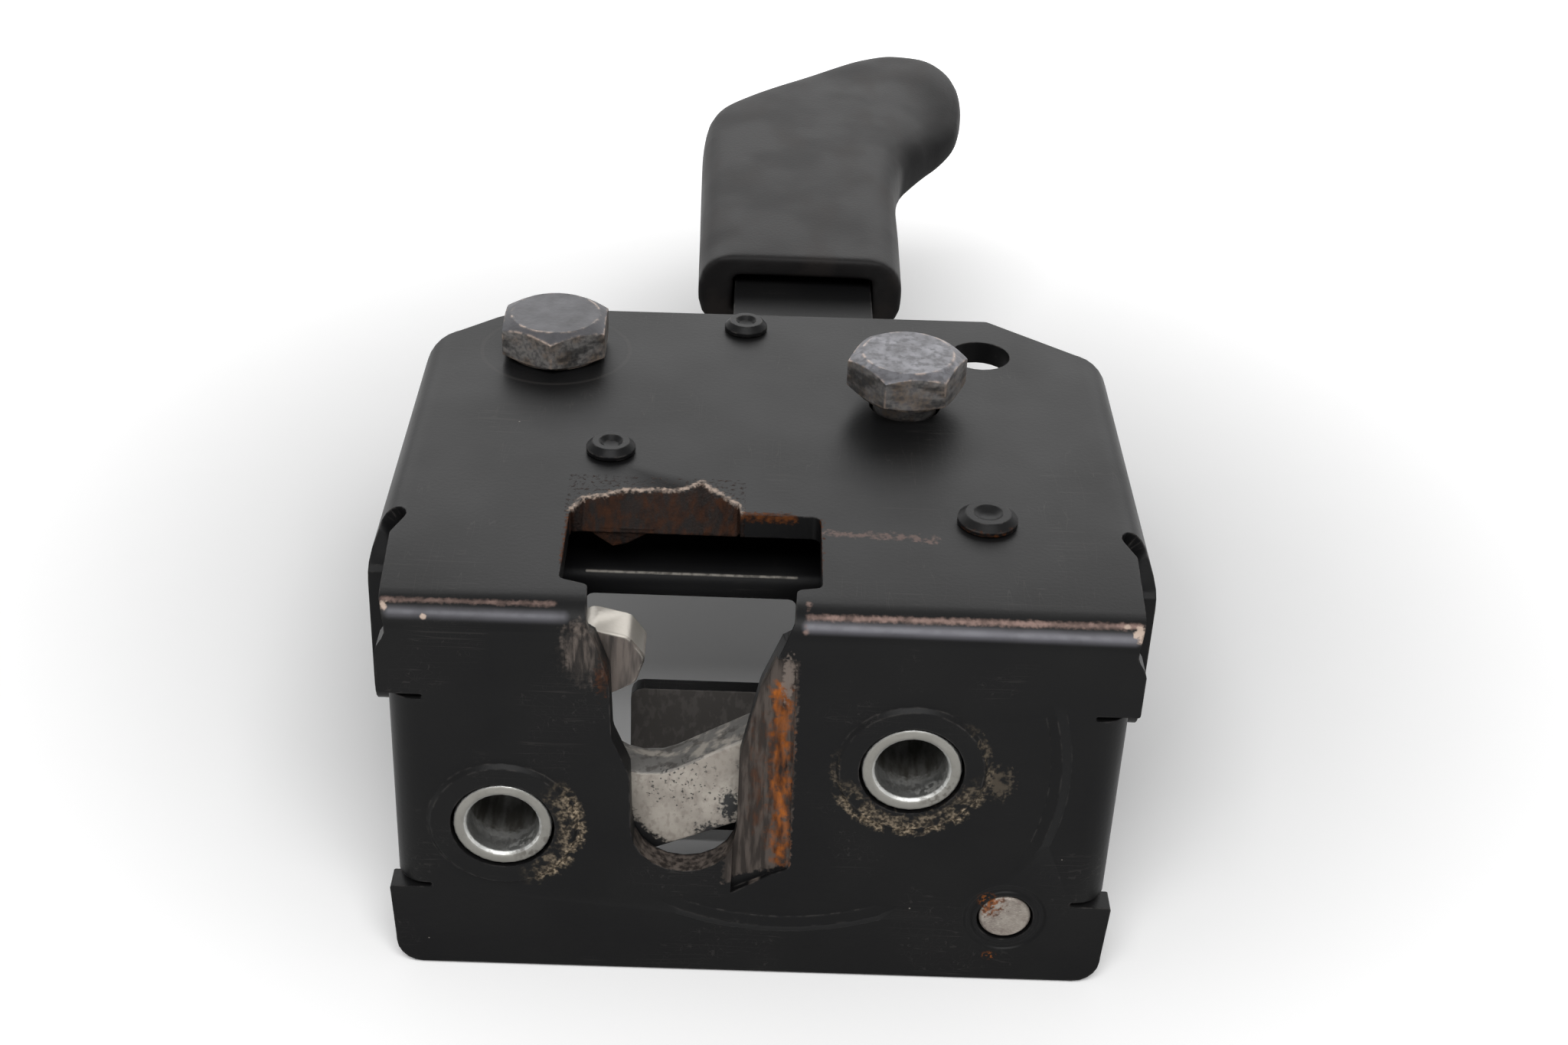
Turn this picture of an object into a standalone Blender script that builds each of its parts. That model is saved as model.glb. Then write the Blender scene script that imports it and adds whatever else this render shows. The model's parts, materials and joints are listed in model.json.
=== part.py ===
"""Door latch: a folded steel housing with its claw, pawl, release levers and fixings.

Run with blender --background --python part.py, or from Blender's text editor.
Lengths are metres. X is right, Y is back from the front plate and Z is up from the top plate.
"""
from math import acos, asin, atan2, ceil, cos, pi, radians, sin, sqrt, tan

import bmesh
import bpy
from mathutils import Matrix, Vector

# Clearances between pieces that touch or turn on each other
GAP = 0.0003
HEAD_GAP = 0.0002

# Housing sheet
SHEET = 0.003
FRONT_WIDTH = 0.082
FRONT_HEIGHT = 0.0497
TOP_DEPTH = 0.0727
FRONT_BEND = 0.0038
SIDE_BEND = 0.0035
BEND_STEPS = 6
WIDE = 1.0

# How finely round corners are divided: the angle of a step on large and on small rounds
FINE_RADIUS = 0.0022
FINE_STEP = radians(20)
COARSE_STEP = radians(34)
OUTER_WIDTH = FRONT_WIDTH + 2 * (SHEET + GAP)
SIDE_START = 0.0125
SIDE_END = 0.0605
SIDE_DROP_FRONT = 0.024
SIDE_DROP_REAR = 0.014
RETURN_TOP = 0.012
RETURN_BOTTOM = 0.038
RETURN_DEPTH = 0.020
RELIEF_Y = 0.019
RELIEF_RADIUS = 0.0018
SLIT = 0.0007
LIP_HEIGHT = 0.0039
LIP_TILT = radians(6)
FRONT_FACE_Y = -0.040

# Striker slot and the wide opening behind it
SLOT_FROM_EDGE = 0.03305
SLOT_RADIUS = 0.00595
SLOT_DEPTH = 0.03515
MOUTH_BACK = 0.0213
STRIKER_X = -FRONT_WIDTH / 2 + SLOT_FROM_EDGE

# Inner carrier bracket
CARRIER_SHEET = 0.002
CARRIER_BEND = 0.0025
CARRIER_FRONT = 0.022
CARRIER_WIDTH = FRONT_WIDTH - 2 * (SHEET + GAP)
CARRIER_FOOT = 0.0027
SHELF_CLEARANCE = 0.0007
SHELF_LEFT = 0.024
SHELF_RIGHT = 0.032
SHELF_TAIL = 0.0027
WINDOW_LEFT = -0.01275
WINDOW_STEP = -0.00735
WINDOW_RIGHT = 0.01205
WINDOW_SILL = 0.0255
WINDOW_NOTCH = 0.037

# Pivot bushes, their spacers and their springs
BUSH_RADIUS = 0.0056
BUSH_BORE = 0.0041
BUSH_FACE = 0.00035
BUSH_HEAD = 0.0072
BUSH_HEAD_LENGTH = 0.0012
COLLAR_RADIUS = 0.00855
COLLAR_TOP_RADIUS = 0.0081
COLLAR_HEIGHT = 0.0005
SPACER_WALL = 0.0009
COIL_WIRE = 0.0006
COIL_TURNS = 5
COIL_STEPS = 12

# Claw, in its own frame with the mouth along +X
CLAW_X = STRIKER_X - 0.02051
CLAW_Z = -0.029
PLATE_THICKNESS = 0.0048
PLATE_CLEARANCE = 0.0005
CLAW_OPEN_TILT = radians(30.4)
CLAW_HUB = 0.009
CLAW_RADIUS = 0.0325
MOUTH_LOW = 0.0047
MOUTH_HIGH = 0.0078
MOUTH_END = 0.01355

# Pawl
PAWL_X = STRIKER_X + 0.02511
PAWL_Z = -0.01936
PAWL_HUB = 0.009
PAWL_TAIL = 0.0050
TOOTH_REACH = 0.0229

# Release lever and the transfer lever that it turns
LEVER_THICKNESS = 0.004
WASHER_THICKNESS = 0.0005
WASHER_RADIUS = 0.006
LEVER_X = STRIKER_X + 0.00495
LEVER_Y = TOP_DEPTH - 0.0044
LEVER_EAR = 0.0085
BAR_WIDTH = 0.0193
BAR_LEFT = LEVER_X - 0.0018
ARM_WIDTH = 0.0095
TRANSFER_X = STRIKER_X + 0.03345
TRANSFER_Y = 0.0214
TRANSFER_HUB = 0.007
NOSE_RADIUS = 0.0025
NOSE_RISE = 0.0111

# Rivets, with their heads on the top plate
RIVET_NECK = 0.002
RIVET_SHOULDER = 0.003
POST_RADIUS = 0.0016
RIVET_HEAD_HEIGHT = 0.0012
RIVET_FOOT_HEIGHT = 0.0009
RIVET_FOOT_LIP = 0.0009
SPRING_POST_X = STRIKER_X - 0.01065
SPRING_POST_Y = 0.0349

# Stop stud
STUD_RADIUS = 0.003
STUD_SHOULDER = 0.0042
STUD_X = STRIKER_X + 0.03745
STUD_Z = 0.0091 - FRONT_HEIGHT

# Fixing bolts
BOLT_RADIUS = 0.004
BOLT_FLATS = 0.013
BOLT_HEAD = 0.0051
BOLT_CROWN = 0.0057
BOLT_CHAMFER = 0.0012
BOLT_SEAT = 0.0062
BOLT_LENGTH = 0.018
BOLT_HOLE = BOLT_RADIUS + 0.0005
NUT_HEIGHT = 0.0065
LEFT_BOLT = (STRIKER_X - 0.01945, TOP_DEPTH - 0.0121)
RIGHT_BOLT = (STRIKER_X + 0.02515, TOP_DEPTH - 0.0235)
RIGHT_BOLT_LIFT = 0.0022
RIGHT_BOLT_TURN = 0.11
DRAIN_HOLE = (STRIKER_X + 0.03565, TOP_DEPTH - 0.0095, 0.0039)

# Grip sleeve on the release lever
SLEEVE_START = LEVER_Y + 0.0217
SLEEVE_WALL = 0.0028
SLEEVE_HEADROOM = 0.0015
SLEEVE_EDGE = 0.0046
SLEEVE_SIDE = 0.005
SLEEVE_WIDTH = 0.0286
SLEEVE_LENGTH = 0.0877
BAR_LENGTH = 0.060

# Heights that follow from the stack between the top plate and the carrier's shelf
WASHER_TOP = -(SHEET + GAP)
LEVER_TOP = WASHER_TOP - WASHER_THICKNESS - GAP
LEVER_BOTTOM = LEVER_TOP - LEVER_THICKNESS
SHELF_TOP = LEVER_BOTTOM - SHELF_CLEARANCE
SHELF_BOTTOM = SHELF_TOP - CARRIER_SHEET

# Depths that follow from the stack between the front plate and the carrier's web
PLATE_FRONT = SHEET + PLATE_CLEARANCE
PLATE_BACK = PLATE_FRONT + PLATE_THICKNESS
CARRIER_BACK = CARRIER_FRONT + CARRIER_SHEET
SPACER_RADIUS = BUSH_RADIUS + GAP + SPACER_WALL

BLACK_COAT = ((0.022, 0.022, 0.023), 0.42, 0.1)
WORN_STEEL = ((0.46, 0.44, 0.41), 0.45, 0.9)
ZINC = ((0.55, 0.55, 0.54), 0.35, 1.0)
DULL_ZINC = ((0.26, 0.26, 0.25), 0.5, 0.9)
SPRING_STEEL = ((0.16, 0.16, 0.17), 0.4, 1.0)
BLACK_PLASTIC = ((0.028, 0.028, 0.027), 0.5, 0.0)


def clear_scene():
    """Remove what the scene holds, so that the script can be run again."""
    for item in list(bpy.data.objects):
        bpy.data.objects.remove(item, do_unlink=True)


def new_collection(name):
    """Return a new collection of this name, linked to the scene."""
    collection = bpy.data.collections.new(name)
    bpy.context.scene.collection.children.link(collection)
    return collection


def new_material(name, finish):
    """Return a Principled material from a colour, a roughness and a metallic value."""
    colour, roughness, metallic = finish
    material = bpy.data.materials.new(name)
    material.use_nodes = True
    shader = material.node_tree.nodes["Principled BSDF"]
    shader.inputs["Base Color"].default_value = (*colour, 1.0)
    shader.inputs["Roughness"].default_value = roughness
    shader.inputs["Metallic"].default_value = metallic
    return material


def place(name, mesh, finish, location, upright=False, turn=0.0):
    """Make a sub-part from a mesh whose outer face is z = 0; upright ones face the front."""
    item = bpy.data.objects.new(name, mesh)
    PARTS.objects.link(item)
    item.parent = ROOT
    item.location = location
    item.rotation_euler = (pi / 2, 0, 0) if upright else (0, 0, turn)
    if finish:
        mesh.materials.append(new_material(name + "_finish", finish))
    return item


def make_cutter(item):
    """Move an object to the cutters, where it shows as a wire and isn't rendered."""
    PARTS.objects.unlink(item)
    CUTTERS.objects.link(item)
    item.display_type = "WIRE"
    item.hide_render = True
    return item


def combine(target, tool, operation):
    """Give the target a Boolean with this tool."""
    modifier = target.modifiers.new(operation.lower() + "_" + tool.name, "BOOLEAN")
    modifier.operation = operation
    modifier.solver = "EXACT"
    modifier.object = make_cutter(tool)


def soften(item, width, segments=1, angle=radians(40)):
    """Give an item's sharp edges a small round."""
    modifier = item.modifiers.new("soft_edges", "BEVEL")
    modifier.width = width
    modifier.segments = segments
    modifier.limit_method = "ANGLE"
    modifier.angle_limit = angle


def merge_flats(item):
    """Merge an item's coplanar faces, which its cuts leave in slivers."""
    modifier = item.modifiers.new("merge_flats", "DECIMATE")
    modifier.decimate_type = "DISSOLVE"
    modifier.angle_limit = radians(0.2)


def rounded(corners):
    """Turn (x, y, radius) corners into a closed outline, with more points on a larger round."""
    outline = []
    for index, (x, y, radius) in enumerate(corners):
        corner = Vector((x, y))
        before = Vector(corners[index - 1][:2]) - corner
        after = Vector(corners[(index + 1) % len(corners)][:2]) - corner
        if radius <= 0 or before.length == 0 or after.length == 0:
            outline.append(corner)
            continue
        half = before.angle(after) / 2
        reach = min(radius / tan(half), 0.49 * before.length, 0.49 * after.length)
        inward = (before.normalized() + after.normalized()).normalized()
        centre = corner + inward * reach / cos(half)
        spoke = corner + before.normalized() * reach - centre
        turn = pi - 2 * half
        side = 1 if (-before).cross(after) > 0 else -1
        step = FINE_STEP if radius > FINE_RADIUS else COARSE_STEP
        count = max(1, ceil(turn / step))
        for number in range(count + 1):
            angle = side * turn * number / count
            outline.append(centre + Matrix.Rotation(angle, 2) @ spoke)
    return outline


def arc(centre, radius, start, end, count):
    """Return count + 1 points of an arc, as corners with no round of their own."""
    points = []
    for number in range(count + 1):
        angle = start + (end - start) * number / count
        points.append((centre[0] + radius * cos(angle), centre[1] + radius * sin(angle), 0))
    return points


def circle(centre, radius, count=32):
    """Return a closed circle of points."""
    return [Vector(point[:2]) for point in arc(centre, radius, 0, 2 * pi, count)[:-1]]


def curve_to_mesh(curve, name):
    """Return a curve's evaluated mesh with its caps welded, and remove the curve."""
    bpy.context.view_layer.update()
    graph = bpy.context.evaluated_depsgraph_get()
    mesh = bpy.data.meshes.new_from_object(curve.evaluated_get(graph))
    mesh.name = name
    shape = bmesh.new()
    shape.from_mesh(mesh)
    bmesh.ops.remove_doubles(shape, verts=shape.verts, dist=1e-6)
    bmesh.ops.recalc_face_normals(shape, faces=shape.faces)
    shape.to_mesh(mesh)
    shape.free()
    bpy.data.objects.remove(curve, do_unlink=True)
    return mesh


def flat_mesh(name, loops, thickness):
    """Return a plate of the loops' outline and holes, from z = 0 down to -thickness."""
    data = bpy.data.curves.new(name, "CURVE")
    data.dimensions = "2D"
    data.fill_mode = "BOTH"
    data.extrude = thickness / 2
    for loop in loops:
        spline = data.splines.new("POLY")
        spline.points.add(len(loop) - 1)
        for point, place_at in zip(spline.points, loop):
            point.co = (place_at[0], place_at[1], 0, 1)
        spline.use_cyclic_u = True
    curve = bpy.data.objects.new(name, data)
    bpy.context.scene.collection.objects.link(curve)
    mesh = curve_to_mesh(curve, name)
    mesh.transform(Matrix.Translation((0, 0, -thickness / 2)))
    return mesh


def wire_mesh(name, points, radius, radii=None):
    """Return a round wire through the points, with closed ends."""
    data = bpy.data.curves.new(name, "CURVE")
    data.dimensions = "3D"
    data.bevel_depth = radius
    data.bevel_resolution = 2
    data.use_fill_caps = True
    spline = data.splines.new("POLY")
    spline.points.add(len(points) - 1)
    for number, place_at in enumerate(points):
        spline.points[number].co = (*place_at, 1)
        spline.points[number].radius = radii[number] if radii else 1.0
    curve = bpy.data.objects.new(name, data)
    bpy.context.scene.collection.objects.link(curve)
    return curve_to_mesh(curve, name)


def turned_mesh(name, profile, ring=False, count=32):
    """Turn an (r, z) profile round the Z axis; a ring's profile is a closed loop."""
    mesh = bpy.data.meshes.new(name)
    edges = [(number, number + 1) for number in range(len(profile) - 1)]
    if ring:
        edges.append((len(profile) - 1, 0))
    mesh.from_pydata([(radius, 0, height) for radius, height in profile], edges, [])
    blank = bpy.data.objects.new(name, mesh)
    bpy.context.scene.collection.objects.link(blank)
    screw = blank.modifiers.new("turn", "SCREW")
    screw.axis = "Z"
    screw.steps = count
    screw.render_steps = count
    screw.use_merge_vertices = True
    screw.merge_threshold = 1e-6
    screw.use_normal_calculate = True
    return curve_to_mesh(blank, name)


def tube_profile(inner, outer, top, bottom, chamfer=0.0):
    """Return a ring's profile between two heights, with its bore chamfered."""
    return [(outer, top), (outer, bottom), (inner + chamfer, bottom), (inner, bottom + chamfer),
            (inner, top - chamfer), (inner + chamfer, top)]


def sheet_drop(bend, height):
    """Return the length of sheet used from the start of a bend down to a height."""
    if height < bend:
        return bend * acos(1 - height / bend)
    return bend * pi / 2 + height - bend


def front_v(z):
    """Return the place on the flat blank of a height on the front plate."""
    return FRONT_BEND - sheet_drop(FRONT_BEND, -z)


def bend_point(along, depth, bend):
    """Return how far a bent sheet goes out and down; depth is below its outer face."""
    angle = min(along / bend, pi / 2)
    straight = max(0.0, along - bend * pi / 2)
    return (bend - depth) * sin(angle), bend - (bend - depth) * cos(angle) + straight


def fold_housing(u, v, w):
    """Return where a point of the housing's flat blank lies on the folded sheet."""
    depth = -w
    side = 1 if u > 0 else -1
    wing_start = OUTER_WIDTH / 2 - SIDE_BEND
    return_start = FRONT_WIDTH / 2 - SIDE_BEND
    on_plate = v < RELIEF_Y and abs(u) < OUTER_WIDTH / 2 - RELIEF_RADIUS / 2
    if v >= SIDE_START - GAP and abs(u) > wing_start and not on_plate:
        out, down = bend_point(abs(u) - wing_start, depth, SIDE_BEND)
        return Vector((side * (wing_start + out), v, -down))
    if v >= FRONT_BEND:
        return Vector((u, v, w))
    out, down = bend_point(FRONT_BEND - v, depth, FRONT_BEND)
    point = Vector((u, FRONT_BEND - out, -down))
    lip_v = front_v(LIP_HEIGHT - FRONT_HEIGHT)
    if v < lip_v:
        length = lip_v - v
        point.y = depth * cos(LIP_TILT) - length * sin(LIP_TILT)
        point.z = LIP_HEIGHT - FRONT_HEIGHT - length * cos(LIP_TILT) - depth * sin(LIP_TILT)
    in_return = front_v(-RETURN_BOTTOM) - SLIT / 2 < v < front_v(-RETURN_TOP) + SLIT / 2
    if in_return and abs(u) > return_start:
        out, back = bend_point(abs(u) - return_start, depth, SIDE_BEND)
        point.x = side * (return_start + out)
        point.y = back
    return point


def half_blank(side):
    """Return one half of the housing's flat outline, from its rear edge to its front lip."""
    wing_start = OUTER_WIDTH / 2 - SIDE_BEND
    front = wing_start + sheet_drop(SIDE_BEND, SIDE_DROP_FRONT)
    rear = wing_start + sheet_drop(SIDE_BEND, SIDE_DROP_REAR)
    return_start = FRONT_WIDTH / 2 - SIDE_BEND
    return_end = return_start + sheet_drop(SIDE_BEND, RETURN_DEPTH)
    ear = FRONT_WIDTH / 2 + 0.0007
    waist = FRONT_WIDTH / 2 - 0.0006
    relief = (OUTER_WIDTH / 2 - RELIEF_RADIUS, RELIEF_Y)
    edge = FRONT_WIDTH / 2 + 0.001
    if side > 0:
        rear_edge = [(0.0293, TOP_DEPTH + 0.0005, 0.001), (0.0403, TOP_DEPTH - 0.0083, 0.001)]
    else:
        rear_edge = [(0.023, TOP_DEPTH - 0.0004, 0.004), (0.035, TOP_DEPTH - 0.0027, 0.004),
                     (wing_start - 0.0005, TOP_DEPTH - 0.0077, 0.003)]
    corners = rear_edge + [
        (wing_start + 0.0055, SIDE_END, 0.003),
        (rear, SIDE_END, 0.003),
        (front, SIDE_START, 0.004),
        (wing_start + SIDE_BEND * pi / 2 + 0.0003, SIDE_START, 0.002),
        (relief[0] + RELIEF_RADIUS, relief[1] - 0.001, 0.0004),
    ]
    corners += arc(relief, RELIEF_RADIUS, 0, pi + 0.4, 8)
    corners += [
        (edge, RELIEF_Y - 0.004, 0.001),
        (FRONT_WIDTH / 2 + 0.0003, FRONT_BEND * 0.6, 0.002),
        (waist, front_v(-FRONT_BEND * 0.9), 0.002),
        (ear, front_v(-0.0055), 0.0015),
        (ear, front_v(-RETURN_TOP) + SLIT, 0.0003),
        (return_start - SLIT, front_v(-RETURN_TOP) + SLIT, 0.0003),
        (return_start - SLIT, front_v(-RETURN_TOP), 0.0003),
        (return_end, front_v(-RETURN_TOP), 0.002),
        (return_end, front_v(-RETURN_BOTTOM), 0.002),
        (return_start - SLIT, front_v(-RETURN_BOTTOM), 0.0003),
        (return_start - SLIT, front_v(-RETURN_BOTTOM) - SLIT, 0.0003),
        (ear, front_v(-RETURN_BOTTOM) - SLIT, 0.0003),
        (ear - 0.0006, front_v(-FRONT_HEIGHT), 0.003),
    ]
    return [(side * x, y, radius) for x, y, radius in corners]


def slot_corners():
    """Return the blank's T-shaped hole: the wide opening and the striker slot."""
    left = STRIKER_X - SLOT_RADIUS
    right = STRIKER_X + SLOT_RADIUS
    return [
        (left - 0.0085, MOUTH_BACK, 0.001),
        (right + 0.0084, MOUTH_BACK, 0.001),
        (right + 0.0084, 0.0066, 0.0008),
        (right + 0.0056, 0.0060, 0.0008),
        (right + 0.0054, front_v(-0.001), 0.001),
        (right + 0.0020, front_v(-0.0095), 0.003),
        (right, front_v(-0.0195), 0.003),
        (right, front_v(-SLOT_DEPTH), SLOT_RADIUS),
        (left, front_v(-SLOT_DEPTH), SLOT_RADIUS),
        (left - 0.0003, front_v(-0.0215), 0.003),
        (left - 0.0023, front_v(-0.0165), 0.002),
        (left - 0.0026, front_v(-0.0085), 0.003),
        (left - 0.0051, front_v(-0.0015), 0.002),
        (left - 0.0053, 0.0057, 0.0008),
        (left - 0.0085, 0.0068, 0.0008),
    ]


def score(shape, axis, place_at, zone):
    """Split a blank along a bend line; the zone gives the least and most |u| and v that it crosses."""
    margin = 1e-6
    least_u, most_u, least_v, most_v = zone
    normal = Vector((0, 0, 0))
    normal[axis] = 1
    faces = []
    for face in shape.faces:
        inside_u = all(least_u - margin <= abs(vert.co.x) <= most_u + margin for vert in face.verts)
        inside_v = all(least_v - margin <= vert.co.y <= most_v + margin for vert in face.verts)
        if inside_u and inside_v:
            faces.append(face)
    edges = {edge for face in faces for edge in face.edges}
    verts = {vert for face in faces for vert in face.verts}
    geometry = list(verts) + list(edges) + faces
    bmesh.ops.bisect_plane(shape, geom=geometry, dist=1e-6, plane_co=normal * place_at, plane_no=normal)


def bend_places(start, bend):
    """Return how far out on the blank the lines of one bend lie, from its first to its last."""
    length = bend * pi / 2
    return [start + length * number / BEND_STEPS for number in range(BEND_STEPS + 1)]


def front_bend_lines(bend):
    """Return the lines of a bend across the whole blank, which starts at v = bend and goes forward."""
    lines = []
    for number, place_at in enumerate(bend_places(0, bend)):
        reach = WIDE if number == 0 else bend
        lines.append((1, bend - place_at, (0, WIDE, -WIDE, reach)))
    return lines


def wing_lines(start, bend, least_v, most_v):
    """Return the lines of the two bends, left and right, that start at |u| = start."""
    lines = []
    for side in (-1, 1):
        for number, place_at in enumerate(bend_places(start, bend)):
            inner = 0 if number == 0 else start
            lines.append((0, side * place_at, (inner, WIDE, least_v, most_v)))
    return lines


def fold(mesh, lines, mapping):
    """Score a blank along its bend lines, then move each of its points by the mapping."""
    shape = bmesh.new()
    shape.from_mesh(mesh)
    flat = [edge for edge in shape.edges if edge.calc_face_angle(pi) < radians(1)]
    bmesh.ops.beautify_fill(shape, faces=shape.faces, edges=flat, method="ANGLE")
    for axis, place_at, zone in lines:
        score(shape, axis, place_at, zone)
    for vertex in shape.verts:
        vertex.co = [round(value, 7) for value in mapping(*vertex.co)]
    bmesh.ops.triangulate(shape, faces=shape.faces)
    bmesh.ops.recalc_face_normals(shape, faces=shape.faces)
    shape.to_mesh(mesh)
    shape.free()


def emboss_rib(name, centre, radius, start, end):
    """Return a tube along an arc, sunk so that only a low rounded rib stands out."""
    rib_width = 0.0023
    rib_height = 0.0005
    tube = (rib_width ** 2 / 4 + rib_height ** 2) / (2 * rib_height)
    flush = (tube - rib_height) / tube
    count = 10
    points = [(x, y, rib_height - tube) for x, y, _ in arc(centre, radius, start, end, count)]
    radii = [flush] + [1.0] * (count - 1) + [flush]
    return place(name, wire_mesh(name, points, tube, radii), None, (0, 0, 0), upright=True)


def torn_edge():
    """Return the cutter of the battered rim behind the wide opening: a slope between two outlines."""
    left = STRIKER_X - SLOT_RADIUS - 0.0085
    rim = [(0.0001, 0.0), (0.0014, 0.0027), (0.0039, 0.0035), (0.0059, 0.0047), (0.0124, 0.0050),
           (0.0149, 0.0072), (0.0174, 0.0042), (0.0192, 0.0022), (0.0196, 0.0)]
    over = 0.001
    low = []
    high = []
    for x, back in rim:
        slope = back / SHEET
        high.append((left + x, MOUTH_BACK + back + slope * over, over))
        low.append((left + x, MOUTH_BACK + 0.0001 - slope * over, -SHEET - over))
    front = MOUTH_BACK - 0.008
    high += [(left + rim[-1][0], front, over), (left + rim[0][0], front, over)]
    low += [(left + rim[-1][0], front, -SHEET - over), (left + rim[0][0], front, -SHEET - over)]
    shape = bmesh.new()
    top = [shape.verts.new(point) for point in high]
    bottom = [shape.verts.new(point) for point in low]
    shape.faces.new(top)
    shape.faces.new(bottom)
    for number, vertex in enumerate(top):
        shape.faces.new((top[number - 1], vertex, bottom[number], bottom[number - 1]))
    bmesh.ops.triangulate(shape, faces=shape.faces)
    bmesh.ops.recalc_face_normals(shape, faces=shape.faces)
    mesh = bpy.data.meshes.new("torn_edge")
    shape.to_mesh(mesh)
    shape.free()
    return place("torn_edge", mesh, None, (0, 0, 0))


def worn_band():
    """Return the cutter of the worn, slightly slanted band right of the striker slot."""
    right = SLOT_RADIUS + 0.0060
    inner = SLOT_RADIUS - 0.0006
    corners = [(right - 0.0004, -0.005, 0.001), (right, -0.0343, 0.001), (right - 0.002, -0.0352, 0.001),
               (inner, -0.0382, 0), (inner, -0.005, 0)]
    thickness = 0.002
    shallow = 0.00035
    points = [(x - right, y) for x, y in rounded(corners)]
    mesh = flat_mesh("worn_band", [points], thickness)
    item = place("worn_band", mesh, None, (STRIKER_X + right, shallow - thickness, 0), upright=True)
    item.rotation_euler = (pi / 2, 0, radians(-5.2))
    return item


def dent():
    """Return the cutter of the shallow scrape at the slot's upper left edge."""
    bpy.ops.mesh.primitive_uv_sphere_add(segments=24, ring_count=12, radius=1.0)
    item = bpy.context.object
    item.name = "dent"
    for collection in list(item.users_collection):
        collection.objects.unlink(item)
    PARTS.objects.link(item)
    item.parent = ROOT
    item.scale = (0.0034, 0.0012, 0.0045)
    item.location = (STRIKER_X - SLOT_RADIUS - 0.0062, -0.0006, -0.0062)
    return item


def through_cutter(name, x, y, radius, upright=False):
    """Return a cylinder that goes right through the housing's top plate or front plate."""
    reach = SHEET + COLLAR_HEIGHT
    mesh = turned_mesh(name, [(0, reach), (radius, reach), (radius, -2 * reach), (0, -2 * reach)])
    location = (x, 0, y) if upright else (x, y, 0)
    return place(name, mesh, None, location, upright)


def make_housing():
    """Fold the housing from its flat blank, then add its collars, ribs and damage."""
    outline = rounded(half_blank(1) + half_blank(-1)[::-1])
    holes = [
        circle(LEFT_BOLT, BOLT_HOLE, 24),
        circle(RIGHT_BOLT, BOLT_HOLE, 24),
        circle(DRAIN_HOLE[:2], DRAIN_HOLE[2], 24),
        circle((TRANSFER_X, TRANSFER_Y), RIVET_NECK + GAP, 16),
        circle((LEVER_X, LEVER_Y), RIVET_NECK + GAP, 16),
        circle((SPRING_POST_X, SPRING_POST_Y), POST_RADIUS + GAP, 16),
        circle((STUD_X, front_v(STUD_Z)), STUD_RADIUS + GAP, 24),
        rounded(slot_corners()),
    ]
    mesh = flat_mesh("housing", [outline] + holes, SHEET)
    wing_start = OUTER_WIDTH / 2 - SIDE_BEND
    return_start = FRONT_WIDTH / 2 - SIDE_BEND
    flat_front = front_v(-FRONT_BEND)
    lines = front_bend_lines(FRONT_BEND)
    lines.append((1, front_v(LIP_HEIGHT - FRONT_HEIGHT), (0, WIDE, -WIDE, flat_front)))
    lines += wing_lines(wing_start, SIDE_BEND, FRONT_BEND, WIDE)
    lines += wing_lines(return_start, SIDE_BEND, -WIDE, flat_front)
    fold(mesh, lines, fold_housing)
    housing = place("housing", mesh, BLACK_COAT, (0, 0, 0))

    collar = [(0, COLLAR_HEIGHT), (COLLAR_TOP_RADIUS, COLLAR_HEIGHT), (COLLAR_RADIUS, 0),
              (COLLAR_RADIUS, -SHEET / 2), (0, -SHEET / 2)]
    for name, x, z in (("claw", CLAW_X, CLAW_Z), ("pawl", PAWL_X, PAWL_Z)):
        ring = place(name + "_collar", turned_mesh(name + "_collar", collar), None, (x, 0, z), upright=True)
        combine(housing, ring, "UNION")
        hole = through_cutter(name + "_hole", x, z, BUSH_RADIUS + GAP, upright=True)
        combine(housing, hole, "DIFFERENCE")

    side_rib = emboss_rib("side_rib", (STRIKER_X + 0.0108, -0.0204), 0.031, radians(21), radians(-21))
    foot = 0.0071 - FRONT_HEIGHT
    foot_rib = emboss_rib("foot_rib", (STRIKER_X + 0.0111, foot + 0.032), 0.032, radians(-116), radians(-64))
    combine(housing, side_rib, "UNION")
    combine(housing, foot_rib, "UNION")
    combine(housing, worn_band(), "DIFFERENCE")
    combine(housing, dent(), "DIFFERENCE")
    combine(housing, torn_edge(), "DIFFERENCE")

    burr_left = STRIKER_X - SLOT_RADIUS - 0.0066
    drops = [(0, -0.0004), (0.001, 0.0006), (0.003, 0.002), (0.0046, 0.0016), (0.0066, 0.0004), (0.0078, -0.0004)]
    burr = [(burr_left + across, -SHEET - drop) for across, drop in drops]
    burr_mesh = flat_mesh("burr", [burr], 0.0011)
    hanging = place("burr", burr_mesh, None, (0, MOUTH_BACK + GAP, 0), upright=True)
    combine(housing, hanging, "UNION")
    merge_flats(housing)
    return housing


def fold_carrier(u, v, w):
    """Return where a point of the carrier's flat blank lies, with its bend at the top of the web."""
    if v >= CARRIER_BEND:
        return Vector((u, v, w))
    out, down = bend_point(CARRIER_BEND - v, -w, CARRIER_BEND)
    return Vector((u, CARRIER_BEND - out, -down))


def carrier_v(z):
    """Return the place on the carrier's blank of a height on its web."""
    return CARRIER_BEND - sheet_drop(CARRIER_BEND, SHELF_TOP - z)


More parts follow.
